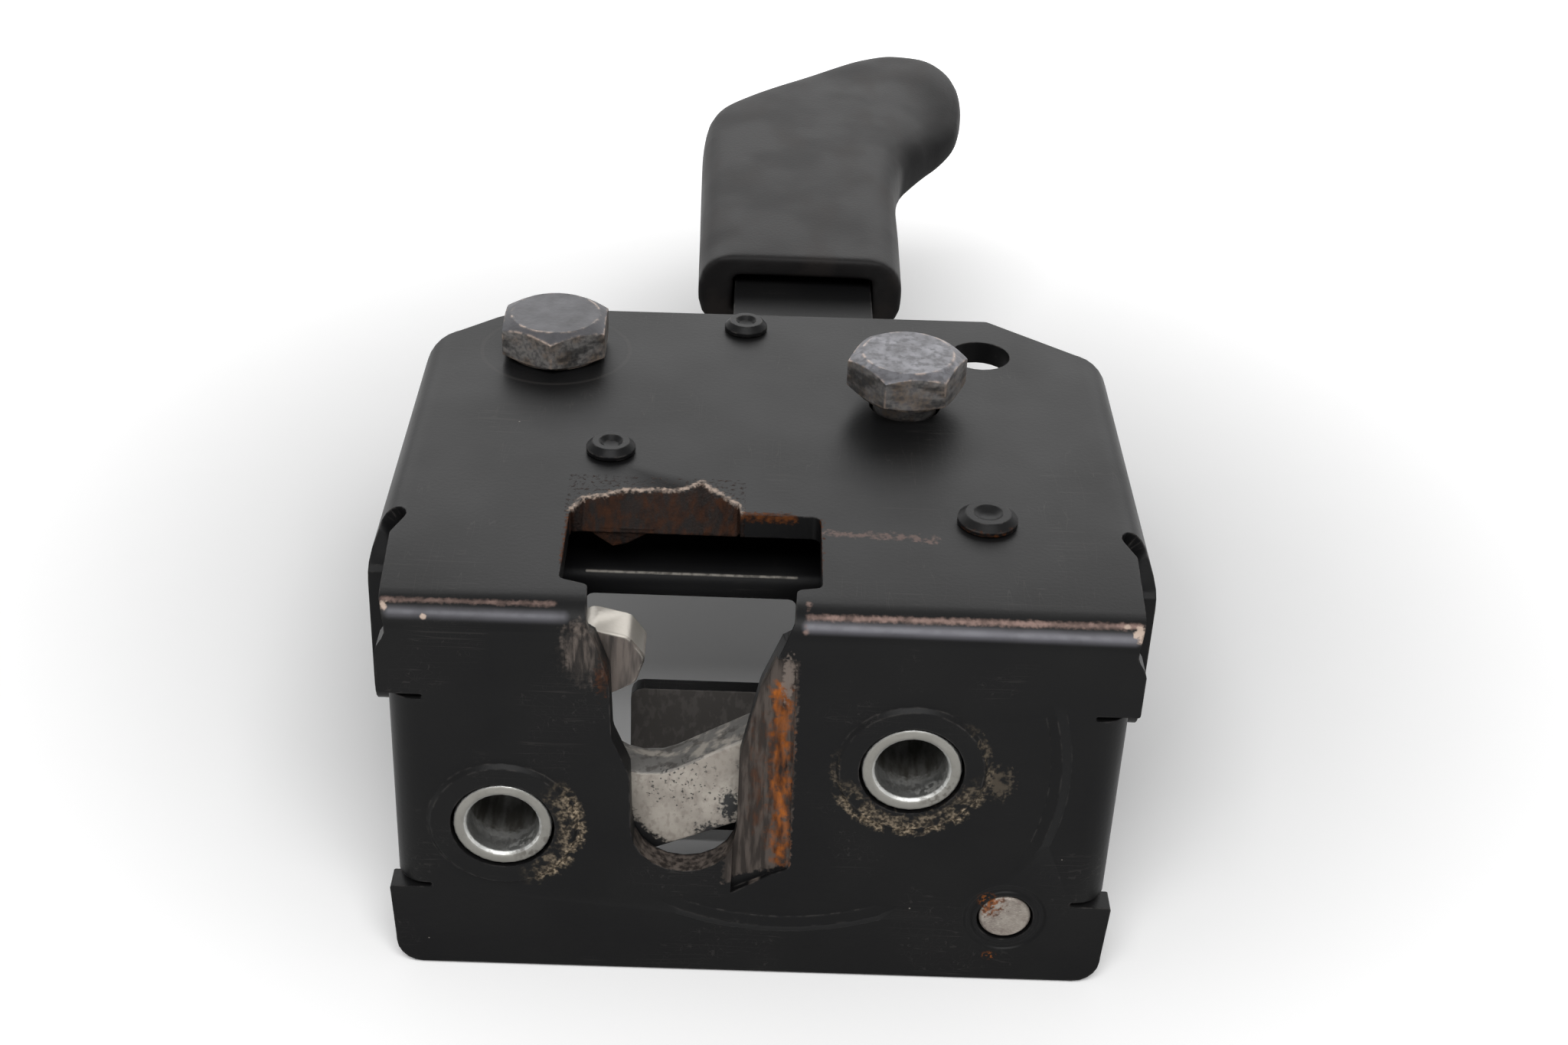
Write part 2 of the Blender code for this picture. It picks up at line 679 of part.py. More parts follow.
def make_carrier():
    """Fold the inner bracket: an upright web for the pivots and a shelf under the levers."""
    half = CARRIER_WIDTH / 2
    shelf_end = TOP_DEPTH - SHELF_TAIL - CARRIER_FRONT
    shelf_shoulder = LEFT_BOLT[1] - 0.010 - CARRIER_FRONT
    web_top = carrier_v(SHELF_TOP - CARRIER_BEND - 0.0030)
    foot = carrier_v(CARRIER_FOOT - FRONT_HEIGHT)
    ear = LEVER_X - LEVER_EAR
    nut_way = BOLT_FLATS / sqrt(3) + 4 * GAP
    nut_left = RIGHT_BOLT[0] - nut_way
    nut_front = RIGHT_BOLT[1] - nut_way - CARRIER_FRONT
    outline = rounded([
        (ear, shelf_end, 0.003), (nut_left, shelf_end, 0.003),
        (nut_left, nut_front, 0.002), (SHELF_RIGHT, nut_front, 0.004),
        (SHELF_RIGHT, web_top, 0.002), (half, web_top, 0.004), (half, foot, 0.004),
        (-half, foot, 0.004), (-half, web_top, 0.004), (-SHELF_LEFT, web_top, 0.002),
        (-SHELF_LEFT, shelf_shoulder, 0.004), (ear, shelf_shoulder, 0.002),
    ])
    window = rounded([
        (STRIKER_X + WINDOW_LEFT, carrier_v(SHELF_TOP - CARRIER_BEND - 0.0006), 0.001),
        (STRIKER_X + WINDOW_RIGHT, carrier_v(SHELF_TOP - CARRIER_BEND - 0.0006), 0.001),
        (STRIKER_X + WINDOW_RIGHT, carrier_v(-WINDOW_SILL), 0.001),
        (STRIKER_X + WINDOW_STEP, carrier_v(-WINDOW_SILL), 0.0015),
        (STRIKER_X + WINDOW_STEP, carrier_v(-WINDOW_NOTCH), 0.001),
        (STRIKER_X + WINDOW_LEFT, carrier_v(-WINDOW_NOTCH), 0.001),
    ])
    holes = [
        window,
        circle((CLAW_X, carrier_v(CLAW_Z)), BUSH_RADIUS + GAP),
        circle((PAWL_X, carrier_v(PAWL_Z)), BUSH_RADIUS + GAP),
        circle((STUD_X, carrier_v(STUD_Z)), STUD_RADIUS + GAP, 24),
        circle((LEVER_X, LEVER_Y - CARRIER_FRONT), RIVET_NECK + GAP, 16),
        circle((SPRING_POST_X, SPRING_POST_Y - CARRIER_FRONT), POST_RADIUS + GAP, 16),
    ]
    mesh = flat_mesh("carrier_bracket", [outline] + holes, CARRIER_SHEET)
    fold(mesh, front_bend_lines(CARRIER_BEND), fold_carrier)
    carrier = place("carrier_bracket", mesh, BLACK_COAT, (0, CARRIER_FRONT, SHELF_TOP))
    relief_radius = RIVET_SHOULDER + RIVET_FOOT_LIP + 2 * GAP
    relief_depth = RIVET_FOOT_HEIGHT + 2 * GAP
    relief = turned_mesh("rivet_relief", [
        (0, CARRIER_BEND), (relief_radius, CARRIER_BEND), (relief_radius, -relief_depth), (0, -relief_depth)])
    seat = place("rivet_relief", relief, None, (TRANSFER_X, TRANSFER_Y, LEVER_BOTTOM))
    combine(carrier, seat, "DIFFERENCE")
    merge_flats(carrier)
    return carrier


def claw_outline():
    """Return the claw: its finger above the mouth, its jaw below and its round hub."""
    jaw_start = asin(-MOUTH_LOW / CLAW_RADIUS)
    jaw_end = radians(-28.5)
    finger = CLAW_RADIUS - 0.0082
    corners = [
        (MOUTH_END, -MOUTH_LOW, (MOUTH_LOW + MOUTH_HIGH) / 2),
        (MOUTH_END, MOUTH_HIGH, (MOUTH_LOW + MOUTH_HIGH) / 2),
        (finger - 0.0027, MOUTH_HIGH, 0.001),
        (finger, MOUTH_HIGH + 0.0024, 0.0012),
        (finger - 0.0003, MOUTH_HIGH + 0.0056, 0.0012),
        (finger - 0.0036, MOUTH_HIGH + 0.0088, 0.002),
        (0.004, CLAW_HUB + 0.0035, 0.004),
    ]
    corners += arc((0, 0), CLAW_HUB, radians(118), radians(248), 7)
    corners += [(0.006, -CLAW_HUB - 0.004, 0.004)]
    corners += arc((0, 0), CLAW_RADIUS, jaw_end, jaw_start, 4)
    return rounded(corners)


def make_claw():
    """Stamp the claw with its bore, open, and round its edges."""
    turned = [Matrix.Rotation(CLAW_OPEN_TILT, 2) @ point for point in claw_outline()]
    mesh = flat_mesh("claw", [turned, circle((0, 0), BUSH_RADIUS + GAP)], PLATE_THICKNESS)
    claw = place("claw", mesh, WORN_STEEL, (CLAW_X, PLATE_FRONT, CLAW_Z), upright=True)
    soften(claw, 0.0003)
    return claw


def make_pawl():
    """Stamp the pawl with its tail, its tooth and the lobe for its spring."""
    tail_right = TRANSFER_X - NOSE_RADIUS - 0.0007 - GAP - PAWL_X
    tail_top = LEVER_TOP - 0.0005 - PAWL_Z
    lobe = PAWL_HUB + 0.0035
    outline = rounded([
        (tail_right - PAWL_TAIL, tail_top, 0.0012), (tail_right, tail_top, 0.0012),
        (tail_right, PAWL_HUB - 0.0005, 0.003), (PAWL_HUB - 0.001, 0.0062, 0.003),
        (lobe - 0.0003, 0.0048, 0.0018), (lobe, 0.0014, 0.0018), (PAWL_HUB, -0.0015, 0.003),
        (PAWL_HUB - 0.0016, -0.0080, 0.005), (-0.0094, -TOOTH_REACH + 0.0008, 0.001),
        (-0.0136, -TOOTH_REACH + 0.0044, 0.0008), (-PAWL_HUB, -0.0035, 0.004),
        (-PAWL_HUB, 0.0060, 0.006), (tail_right - PAWL_TAIL, PAWL_HUB + 0.0008, 0.002),
    ])
    mesh = flat_mesh("pawl", [outline, circle((0, 0), BUSH_RADIUS + GAP)], PLATE_THICKNESS)
    pawl = place("pawl", mesh, DULL_ZINC, (PAWL_X, PLATE_FRONT, PAWL_Z), upright=True)
    soften(pawl, 0.0003)
    return pawl


def make_pivot(name, x, z):
    """Make a pivot's hollow bush, riveted behind the web, and the spacer tube round it."""
    back = -(CARRIER_BACK + GAP)
    chamfer = 0.0004
    profile = [
        (BUSH_RADIUS, BUSH_FACE - chamfer / 2), (BUSH_RADIUS, back), (BUSH_HEAD, back),
        (BUSH_HEAD, back - BUSH_HEAD_LENGTH), (BUSH_BORE + chamfer, back - BUSH_HEAD_LENGTH),
        (BUSH_BORE, back - BUSH_HEAD_LENGTH + chamfer), (BUSH_BORE, BUSH_FACE - chamfer),
        (BUSH_BORE + chamfer, BUSH_FACE), (BUSH_RADIUS - chamfer / 2, BUSH_FACE),
    ]
    bush = turned_mesh(name + "_bush", profile, ring=True, count=28)
    place(name + "_bush", bush, ZINC, (x, 0, z), upright=True)
    tube = tube_profile(BUSH_RADIUS + GAP, SPACER_RADIUS, -(PLATE_BACK + GAP), GAP - CARRIER_FRONT)
    spacer = turned_mesh(name + "_spacer", tube, ring=True)
    place(name + "_spacer", spacer, DULL_ZINC, (x, 0, z), upright=True)


def torsion_spring(name, x, z, start, lead, tail):
    """Make a torsion spring round a spacer; lead and tail are its straight legs' end points."""
    radius = SPACER_RADIUS + 2 * GAP + COIL_WIRE
    first = PLATE_BACK + 2 * GAP + COIL_WIRE
    last = CARRIER_FRONT - 2 * GAP - COIL_WIRE
    points = [(*lead, -first)]
    total = COIL_TURNS * COIL_STEPS + COIL_STEPS // 2
    for number in range(total + 1):
        angle = start - 2 * pi * number / COIL_STEPS
        depth = first + (last - first) * number / total
        points.append((radius * cos(angle), radius * sin(angle), -depth))
    points += [(*corner, -last) for corner in tail]
    place(name, wire_mesh(name, points, COIL_WIRE), SPRING_STEEL, (x, 0, z), upright=True)


def make_springs():
    """Make the claw's and the pawl's torsion springs, with legs that end short of what they push."""
    coil = SPACER_RADIUS + 2 * GAP + COIL_WIRE
    flange = FRONT_WIDTH / 2 - SHEET + CLAW_X
    leg = 0.012
    torsion_spring("claw_spring", CLAW_X, CLAW_Z, 0, (coil, -leg),
                   [(-coil, -leg), (-flange + COIL_WIRE + GAP, -leg - 0.0015)])
    stud_top = STUD_Z + STUD_SHOULDER - PAWL_Z
    torsion_spring("pawl_spring", PAWL_X, PAWL_Z, pi, (-coil, -leg),
                   [(coil, stud_top + COIL_WIRE + 2 * GAP + 0.001),
                    (coil + 0.0015, stud_top + COIL_WIRE + 2 * GAP)])


def make_stop_stud():
    """Make the stud between the plates: flush at the front and riveted behind the web."""
    back = CARRIER_BACK + GAP
    profile = [
        (0, 0), (STUD_RADIUS - GAP, 0), (STUD_RADIUS, -GAP), (STUD_RADIUS, -(SHEET + GAP)),
        (STUD_SHOULDER, -(SHEET + GAP)), (STUD_SHOULDER, GAP - CARRIER_FRONT),
        (STUD_RADIUS, GAP - CARRIER_FRONT), (STUD_RADIUS, -back), (STUD_SHOULDER, -back),
        (STUD_SHOULDER - GAP, -back - 0.001), (0, -back - 0.001),
    ]
    place("stop_stud", turned_mesh("stop_stud", profile), DULL_ZINC, (STUD_X, 0, STUD_Z), upright=True)


def make_rivet(name, x, y, neck, shoulder, head, reaches_shelf=True):
    """Make a low-headed rivet with a dimpled crown, riveted under the shelf or under its lever."""
    dimple = head * 0.5
    top = HEAD_GAP + RIVET_HEAD_HEIGHT
    profile = [
        (0, top - 0.0006), (dimple * 0.6, top - 0.0005), (dimple, top), (head * 0.75, top),
        (head, HEAD_GAP + RIVET_HEAD_HEIGHT * 0.4), (head, HEAD_GAP), (neck, HEAD_GAP),
        (neck, WASHER_TOP), (shoulder, WASHER_TOP),
    ]
    if reaches_shelf:
        foot = SHELF_BOTTOM - GAP
        profile += [(shoulder, SHELF_TOP + GAP), (neck, SHELF_TOP + GAP), (neck, foot)]
    else:
        foot = LEVER_BOTTOM - GAP
        profile.append((shoulder, foot))
    profile += [
        (shoulder + RIVET_FOOT_LIP, foot), (shoulder + RIVET_FOOT_LIP / 2, foot - RIVET_FOOT_HEIGHT),
        (0, foot - RIVET_FOOT_HEIGHT),
    ]
    place(name, turned_mesh(name, profile, count=24), DULL_ZINC, (x, y, 0))


def make_washer(name, x, y):
    """Make the thin washer between the top plate and a lever."""
    tube = tube_profile(RIVET_SHOULDER + GAP, WASHER_RADIUS, WASHER_TOP, WASHER_TOP - WASHER_THICKNESS)
    place(name, turned_mesh(name, tube, ring=True, count=24), ZINC, (x, y, 0))


def make_release_lever():
    """Cut the release lever: the bar for the grip, the pivot ear and the arm with its nose."""
    bar_right = BAR_LEFT + BAR_WIDTH
    end = SLEEVE_START + BAR_LENGTH - SLEEVE_WALL
    nose_x = TRANSFER_X - 0.0035 - GAP
    nose_y = TRANSFER_Y + NOSE_RISE
    arm_right = LEVER_X + ARM_WIDTH
    corners = [
        (BAR_LEFT, end - 0.018, 0.003), (bar_right, end - 0.018, 0.006),
        (bar_right, LEVER_Y - 0.0023, 0.006), (arm_right, LEVER_Y - 0.0113, 0.008),
        (arm_right, nose_y + 0.0085, 0.003), (nose_x - 0.0042, nose_y + 0.0041, 0.0025),
        (nose_x, nose_y + NOSE_RADIUS, NOSE_RADIUS), (nose_x, nose_y - NOSE_RADIUS, NOSE_RADIUS),
        (nose_x - 0.0045, nose_y - NOSE_RADIUS, 0.002), (LEVER_X, nose_y + 0.004, 0.003),
        (LEVER_X, LEVER_Y - 0.0133, 0.004), (LEVER_X - LEVER_EAR, LEVER_Y - 0.007, 0.007),
        (LEVER_X - LEVER_EAR, LEVER_Y + LEVER_EAR, LEVER_EAR - 0.0002),
        (BAR_LEFT, LEVER_Y + LEVER_EAR, 0.0005),
    ]
    outline = rounded([(x - LEVER_X, y - LEVER_Y, radius) for x, y, radius in corners])
    bore = circle((0, 0), RIVET_SHOULDER + GAP, 24)
    mesh = flat_mesh("release_lever", [outline, bore], LEVER_THICKNESS)
    lever = place("release_lever", mesh, BLACK_COAT, (LEVER_X, LEVER_Y, LEVER_TOP))
    soften(lever, 0.0003)
    return lever


def make_transfer_lever():
    """Cut the small crank that passes the release lever's push on to the pawl."""
    hub = TRANSFER_HUB
    nose = NOSE_RADIUS
    nose_x = -0.0007
    nose_y = PLATE_FRONT + nose - TRANSFER_Y
    arm_left = -0.0035
    arm_right = arm_left + 0.006
    arm_top = NOSE_RISE + 0.006
    outline = rounded([
        (arm_left, arm_top, 0.002), (arm_right, arm_top, 0.002), (arm_right, hub + 0.001, 0.004),
        (hub, hub - 0.002, 0.005), (hub, 0.002 - hub, 0.005), (nose_x + nose, -hub - 0.0015, 0.004),
        (nose_x + nose, nose_y - nose, nose), (nose_x - nose, nose_y - nose, nose),
        (nose_x - nose, -hub - 0.001, 0.003), (-hub, 0.002 - hub, 0.005), (-hub, hub - 0.002, 0.005),
        (arm_left, hub + 0.001, 0.003),
    ])
    bore = circle((0, 0), RIVET_SHOULDER + GAP, 24)
    mesh = flat_mesh("transfer_lever", [outline, bore], LEVER_THICKNESS)
    lever = place("transfer_lever", mesh, DULL_ZINC, (TRANSFER_X, TRANSFER_Y, LEVER_TOP))
    soften(lever, 0.0003)
    return lever


def make_lever_spring():
    """Make the pull spring from its post towards the release lever's arm."""
    wire = 0.00035
    coil = 0.00172
    height = (LEVER_TOP + LEVER_BOTTOM) / 2
    post = Vector((SPRING_POST_X, SPRING_POST_Y))
    anchor = Vector((LEVER_X - 0.0006, SPRING_POST_Y + 0.0101))
    reach = (anchor - post).length
    heading = atan2(anchor.y - post.y, anchor.x - post.x)
    hook = POST_RADIUS + GAP + wire
    turns = 8
    steps = 8
    coil_start = hook + 0.0022
    coil_end = reach - 0.0028
    points = []
    for number in range(11):
        angle = radians(30) + radians(300) * number / 10
        points.append((hook * cos(angle), hook * sin(angle), 0))
    for number in range(turns * steps + 1):
        angle = -pi / 2 + 2 * pi * number / steps
        along = coil_start + (coil_end - coil_start) * number / (turns * steps)
        points.append((along, coil * sin(angle), coil * cos(angle)))
    points.append((reach - 0.0012, -coil * 0.5, 0))
    points.append((reach - 0.0005, 0, 0))
    mesh = wire_mesh("lever_spring", points, wire)
    place("lever_spring", mesh, SPRING_STEEL, (post.x, post.y, height), turn=heading)


def hexagon(flats, turn):
    """Return a hexagon of this width across its flats, turned from a corner on +X."""
    radius = flats / sqrt(3)
    return [Vector(point[:2]) for point in arc((0, 0), radius, turn, turn + 2 * pi, 6)[:-1]]


def make_bolt(name, place_at, lift, turn):
    """Make a hexagon-headed bolt with a chamfered head, and the weld nut under the plate."""
    x, y = place_at
    corner = BOLT_FLATS / sqrt(3)
    head = place(name, flat_mesh(name, [hexagon(BOLT_FLATS, turn)], BOLT_HEAD), DULL_ZINC,
                 (x, y, lift + BOLT_HEAD))
    outside = corner + GAP
    seat = BOLT_HEAD - GAP
    dome = turned_mesh(name + "_dome", [
        (0, 0), (BOLT_CROWN, 0), (outside, -BOLT_CHAMFER), (outside, BOLT_CHAMFER / 2 - seat),
        (BOLT_SEAT, -seat), (BOLT_SEAT, -BOLT_HEAD - GAP), (0, -BOLT_HEAD - GAP),
    ])
    combine(head, place(name + "_dome", dome, None, (x, y, lift + BOLT_HEAD)), "INTERSECT")
    point = BOLT_RADIUS / 6
    shank = turned_mesh(name + "_shank", [
        (0, BOLT_HEAD / 2), (BOLT_RADIUS, BOLT_HEAD / 2), (BOLT_RADIUS, point - BOLT_LENGTH),
        (BOLT_RADIUS - point, -BOLT_LENGTH), (0, -BOLT_LENGTH),
    ], count=24)
    combine(head, place(name + "_shank", shank, None, (x, y, lift)), "UNION")


def make_nut(name, place_at, turn):
    """Make the weld nut that a bolt screws into, under the top plate."""
    x, y = place_at
    bore = circle((0, 0), BOLT_RADIUS + GAP, 24)
    mesh = flat_mesh(name, [hexagon(BOLT_FLATS, turn), bore], NUT_HEIGHT)
    place(name, mesh, DULL_ZINC, (x, y, WASHER_TOP))


def smooth_line(points, steps):
    """Return the points of a smooth curve through the given points, with steps to each stretch."""
    points = [Vector(point) for point in points]
    line = []
    for number, (start, end) in enumerate(zip(points, points[1:])):
        before = points[max(number - 1, 0)]
        after = points[min(number + 2, len(points) - 1)]
        for step in range(steps):
            t = step / steps
            line.append(start + (end - before) * t / 2
                        + (2 * before - 5 * start + 4 * end - after) * t ** 2 / 2
                        + (3 * start - before - 3 * end + after) * t ** 3 / 2)
    return line + [points[-1]]


def pillow_mesh(name, line, height, edge, steps):
    """Return a closed solid with a clockwise outline from above, whose edges are round."""
    count = len(line)
    inward = []
    for number in range(count):
        along = (line[(number + 1) % count] - line[number - 1]).normalized()
        inward.append(Vector((along.y, -along.x)))
    levels = []
    for step in range(steps + 1):
        turn = pi / 2 * step / steps
        levels.append((edge * (1 - sin(turn)), edge * (1 - cos(turn))))
    levels += [(inset, height - rise) for inset, rise in reversed(levels)]
    points = [(*(point + inset * way), rise) for inset, rise in levels for point, way in zip(line, inward)]
    faces = [list(range(count)), [len(points) - 1 - number for number in range(count)]]
    for level in range(len(levels) - 1):
        low = level * count
        high = low + count
        for number in range(count):
            following = (number + 1) % count
            faces.append([low + number, high + number, high + following, low + following])
    mesh = bpy.data.meshes.new(name)
    mesh.from_pydata(points, [], faces)
    return mesh


def sleeve_outline():
    """Return the grip's outline from above, as control points from its mouth round to its mouth."""
    left = BAR_LEFT - SLEEVE_SIDE
    shares = [
        (0, -0.1), (-0.017, 0.205), (-0.031, 0.42), (-0.035, 0.57), (-0.003, 0.667), (0.11, 0.73),
        (0.39, 0.833), (0.69, 0.93), (0.85, 0.972), (1.04, 0.999), (1.285, 0.981), (1.415, 0.923),
        (1.461, 0.838), (1.433, 0.735), (1.349, 0.6625), (1.234, 0.595), (1.08, 0.482), (1.018, 0.35),
        (1.012, 0.19), (1, -0.1),
    ]
    return [(left + across * SLEEVE_WIDTH, along * SLEEVE_LENGTH) for across, along in shares]


def make_grip_sleeve():
    """Mould the boot-shaped grip, trim its mouth flat and hollow it for the lever's bar."""
    top = LEVER_TOP + SLEEVE_HEADROOM + SLEEVE_WALL + GAP
    bottom = LEVER_BOTTOM - SLEEVE_WALL
    line = smooth_line(sleeve_outline(), 3)
    mesh = pillow_mesh("grip_sleeve", line, top - bottom, SLEEVE_EDGE, 4)
    mesh.transform(Matrix.Translation((-LEVER_X, SLEEVE_START - LEVER_Y, 0)))
    sleeve = place("grip_sleeve", mesh, BLACK_PLASTIC, (LEVER_X, LEVER_Y, bottom))

    cavity_left = BAR_LEFT - GAP
    cavity_right = BAR_LEFT + BAR_WIDTH + GAP
    cavity_top = LEVER_TOP + SLEEVE_HEADROOM
    cavity_bottom = LEVER_BOTTOM - GAP - 0.0001
    trim = SLEEVE_LENGTH / 8
    cavity_end = BAR_LENGTH - 0.020
    cavity = rounded([(cavity_left, -trim, 0), (cavity_right, -trim, 0),
                      (cavity_right, cavity_end, 0.006), (cavity_left, cavity_end, 0.003)])
    hollow = flat_mesh("hollow", [cavity], cavity_top - cavity_bottom)
    combine(sleeve, place("hollow", hollow, None, (0, SLEEVE_START, cavity_top)), "DIFFERENCE")
    wide = 2 * BAR_WIDTH
    trimming = flat_mesh("mouth_trim", [[(-wide, -2 * trim), (wide, -2 * trim), (wide, 0), (-wide, 0)]], wide)
    combine(sleeve, place("mouth_trim", trimming, None, (LEVER_X, SLEEVE_START, wide / 2)), "DIFFERENCE")
    return sleeve


def main():
    """Build every sub-part of the latch."""
    make_housing()
    make_carrier()
    make_claw()
    make_pawl()
    make_pivot("claw", CLAW_X, CLAW_Z)
    make_pivot("pawl", PAWL_X, PAWL_Z)
    make_springs()
    make_stop_stud()
    make_transfer_lever()
    make_rivet("transfer_rivet", TRANSFER_X, TRANSFER_Y, RIVET_NECK, RIVET_SHOULDER, 0.0035, False)
    make_washer("transfer_washer", TRANSFER_X, TRANSFER_Y)
    make_release_lever()
    make_rivet("lever_rivet", LEVER_X, LEVER_Y, RIVET_NECK, RIVET_SHOULDER, 0.0028)
    make_washer("lever_washer", LEVER_X, LEVER_Y)
    make_rivet("spring_rivet", SPRING_POST_X, SPRING_POST_Y, POST_RADIUS, POST_RADIUS, 0.00295)
    make_lever_spring()
    make_grip_sleeve()
    make_bolt("bolt_left", LEFT_BOLT, HEAD_GAP, pi / 2)
    make_bolt("bolt_right", RIGHT_BOLT, RIGHT_BOLT_LIFT, RIGHT_BOLT_TURN)
    make_nut("weld_nut_left", LEFT_BOLT, pi / 2)
    make_nut("weld_nut_right", RIGHT_BOLT, RIGHT_BOLT_TURN)
    bpy.context.view_layer.update()


clear_scene()
PARTS = new_collection("door_latch")
CUTTERS = new_collection("cutters")
ROOT = bpy.data.objects.new("door_latch_origin", None)
PARTS.objects.link(ROOT)
ROOT.location = (0, FRONT_FACE_Y, 0)
main()
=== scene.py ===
"""Looks for the claw door latch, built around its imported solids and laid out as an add-on."""

import json
from math import cos, exp, radians, sin

import bmesh
import bpy
from mathutils import Matrix, Vector


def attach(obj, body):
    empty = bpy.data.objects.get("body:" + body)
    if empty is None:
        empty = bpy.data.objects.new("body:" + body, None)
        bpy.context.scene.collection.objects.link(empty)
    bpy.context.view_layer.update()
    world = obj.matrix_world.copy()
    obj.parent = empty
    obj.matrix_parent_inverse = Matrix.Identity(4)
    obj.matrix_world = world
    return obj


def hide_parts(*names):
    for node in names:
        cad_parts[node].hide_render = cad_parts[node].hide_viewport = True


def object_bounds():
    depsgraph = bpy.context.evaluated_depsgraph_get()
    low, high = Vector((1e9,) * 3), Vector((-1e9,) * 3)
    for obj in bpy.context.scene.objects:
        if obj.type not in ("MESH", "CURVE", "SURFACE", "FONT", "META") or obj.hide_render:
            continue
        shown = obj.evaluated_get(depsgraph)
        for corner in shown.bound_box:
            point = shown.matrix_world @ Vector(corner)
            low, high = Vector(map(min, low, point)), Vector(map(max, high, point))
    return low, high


bl_info = {
    "name": "Claw Door Latch",
    "version": (1, 0, 0),
    "blender": (4, 5, 0),
    "location": "3D View > Sidebar > Latch",
    "description": "Dresses a packed claw door latch in worn, coated and plated steel",
    "category": "Object",
}

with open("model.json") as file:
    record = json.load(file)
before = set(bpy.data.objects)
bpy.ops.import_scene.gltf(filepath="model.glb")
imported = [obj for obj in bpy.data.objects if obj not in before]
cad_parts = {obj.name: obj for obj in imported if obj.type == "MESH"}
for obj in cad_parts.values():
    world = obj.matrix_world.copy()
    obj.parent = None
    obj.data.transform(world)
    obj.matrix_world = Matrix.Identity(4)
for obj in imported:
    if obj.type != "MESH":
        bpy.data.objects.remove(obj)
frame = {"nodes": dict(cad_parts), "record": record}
CAD_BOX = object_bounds()

MM = 0.001
BODY_OF = {node: body for body, nodes in frame["record"]["behaviour"]["bodies"].items() for node in nodes}

# Places on the latch in millimetres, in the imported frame: across and up on the front plate, whose
# outer face is FRONT, or across and back on the top plate.
FRONT = -40.0
CLAW_PIVOT = (-28.46, -29.0)
PAWL_PIVOT = (17.16, -19.36)
STUD = (29.5, -40.6)
LEFT_BOLT = (-27.4, 20.6)
TRANSFER_RIVET = (25.5, -18.6)
JAW_CENTRE = (-7.3, -37.0, -27.1)
BORE_REACH = 4.4

# Lines along the front bend, left and right of the opening: where the coat is worn through, and the line
# below that where a highlight is painted on the partly polished ridge.
LEFT_BEND = ((-40.8, -37.9, -0.4), (-22.5, -37.8, -0.4))
RIGHT_BEND = ((4.9, -38.3, -0.6), (40.6, -38.1, -0.5))
LEFT_HIGHLIGHT_LINE = ((-40.0, -39.0, -1.2), (-21.5, -39.0, -1.2))
RIGHT_HIGHLIGHT_LINE = ((4.9, -39.1, -1.35), (40.0, -39.2, -1.5))

# The torn rim behind the opening, as points on the top plate.
TORN_RIM = ((-22.3, -18.7), (-21.0, -16.0), (-18.5, -15.2), (-16.5, -14.0), (-10.0, -13.7), (-9.0, -13.0),
            (-7.5, -11.5), (-6.5, -13.0), (-5.0, -14.5), (-3.2, -16.5), (-2.8, -18.5))

# Directions, and the pairs of axes that a ring on the front plate or on the top plate lies in.
UP, DOWN, FORWARD = (0.0, 0.0, 1.0), (0.0, 0.0, -1.0), (0.0, -1.0, 0.0)
UPRIGHT, LEVEL = (1.0, 0.0, 1.0), (1.0, 1.0, 0.0)

# How strongly the coat and the grip mirror their surroundings at a square view; 0.5 is fresh gloss paint.
COAT_SHEEN = 0.105
GRIP_SHEEN = 0.115
COATING_IOR = 1.5
BEVEL_SAMPLES = 4

# Sockets of Blender's Mix node, which has one set for each kind of value.
MIX_SHARE, MIX_LOW, MIX_HIGH = 0, 2, 3
MIX_COLOUR_LOW, MIX_COLOUR_HIGH, MIX_COLOUR_OUT = 6, 7, 2


def hex_colour(code):
    """Return an sRGB hex code as linear red, green, blue and alpha."""
    linear = []
    for start in (1, 3, 5):
        part = int(code[start:start + 2], 16) / 255
        linear.append(part / 12.92 if part <= 0.04045 else ((part + 0.055) / 1.055) ** 2.4)
    return (*linear, 1.0)


def add(tree, kind, links=None, output=0, **settings):
    """Add one node with its settings and links, and return the output asked for."""
    node = tree.nodes.new(kind)
    for name, value in settings.items():
        setattr(node, name, value)
    for key, value in (links or {}).items():
        if isinstance(value, bpy.types.NodeSocket):
            tree.links.new(value, node.inputs[key])
        else:
            node.inputs[key].default_value = value
    return node.outputs[output] if node.outputs else node


def map_range(tree, value, start, end, low=0.0, high=1.0, kind="LINEAR"):
    """Return value turned so that start gives low and end gives high, and nothing passes them."""
    return add(tree, "ShaderNodeMapRange",
               {"Value": value, "From Min": start, "From Max": end, "To Min": low, "To Max": high},
               interpolation_type=kind)


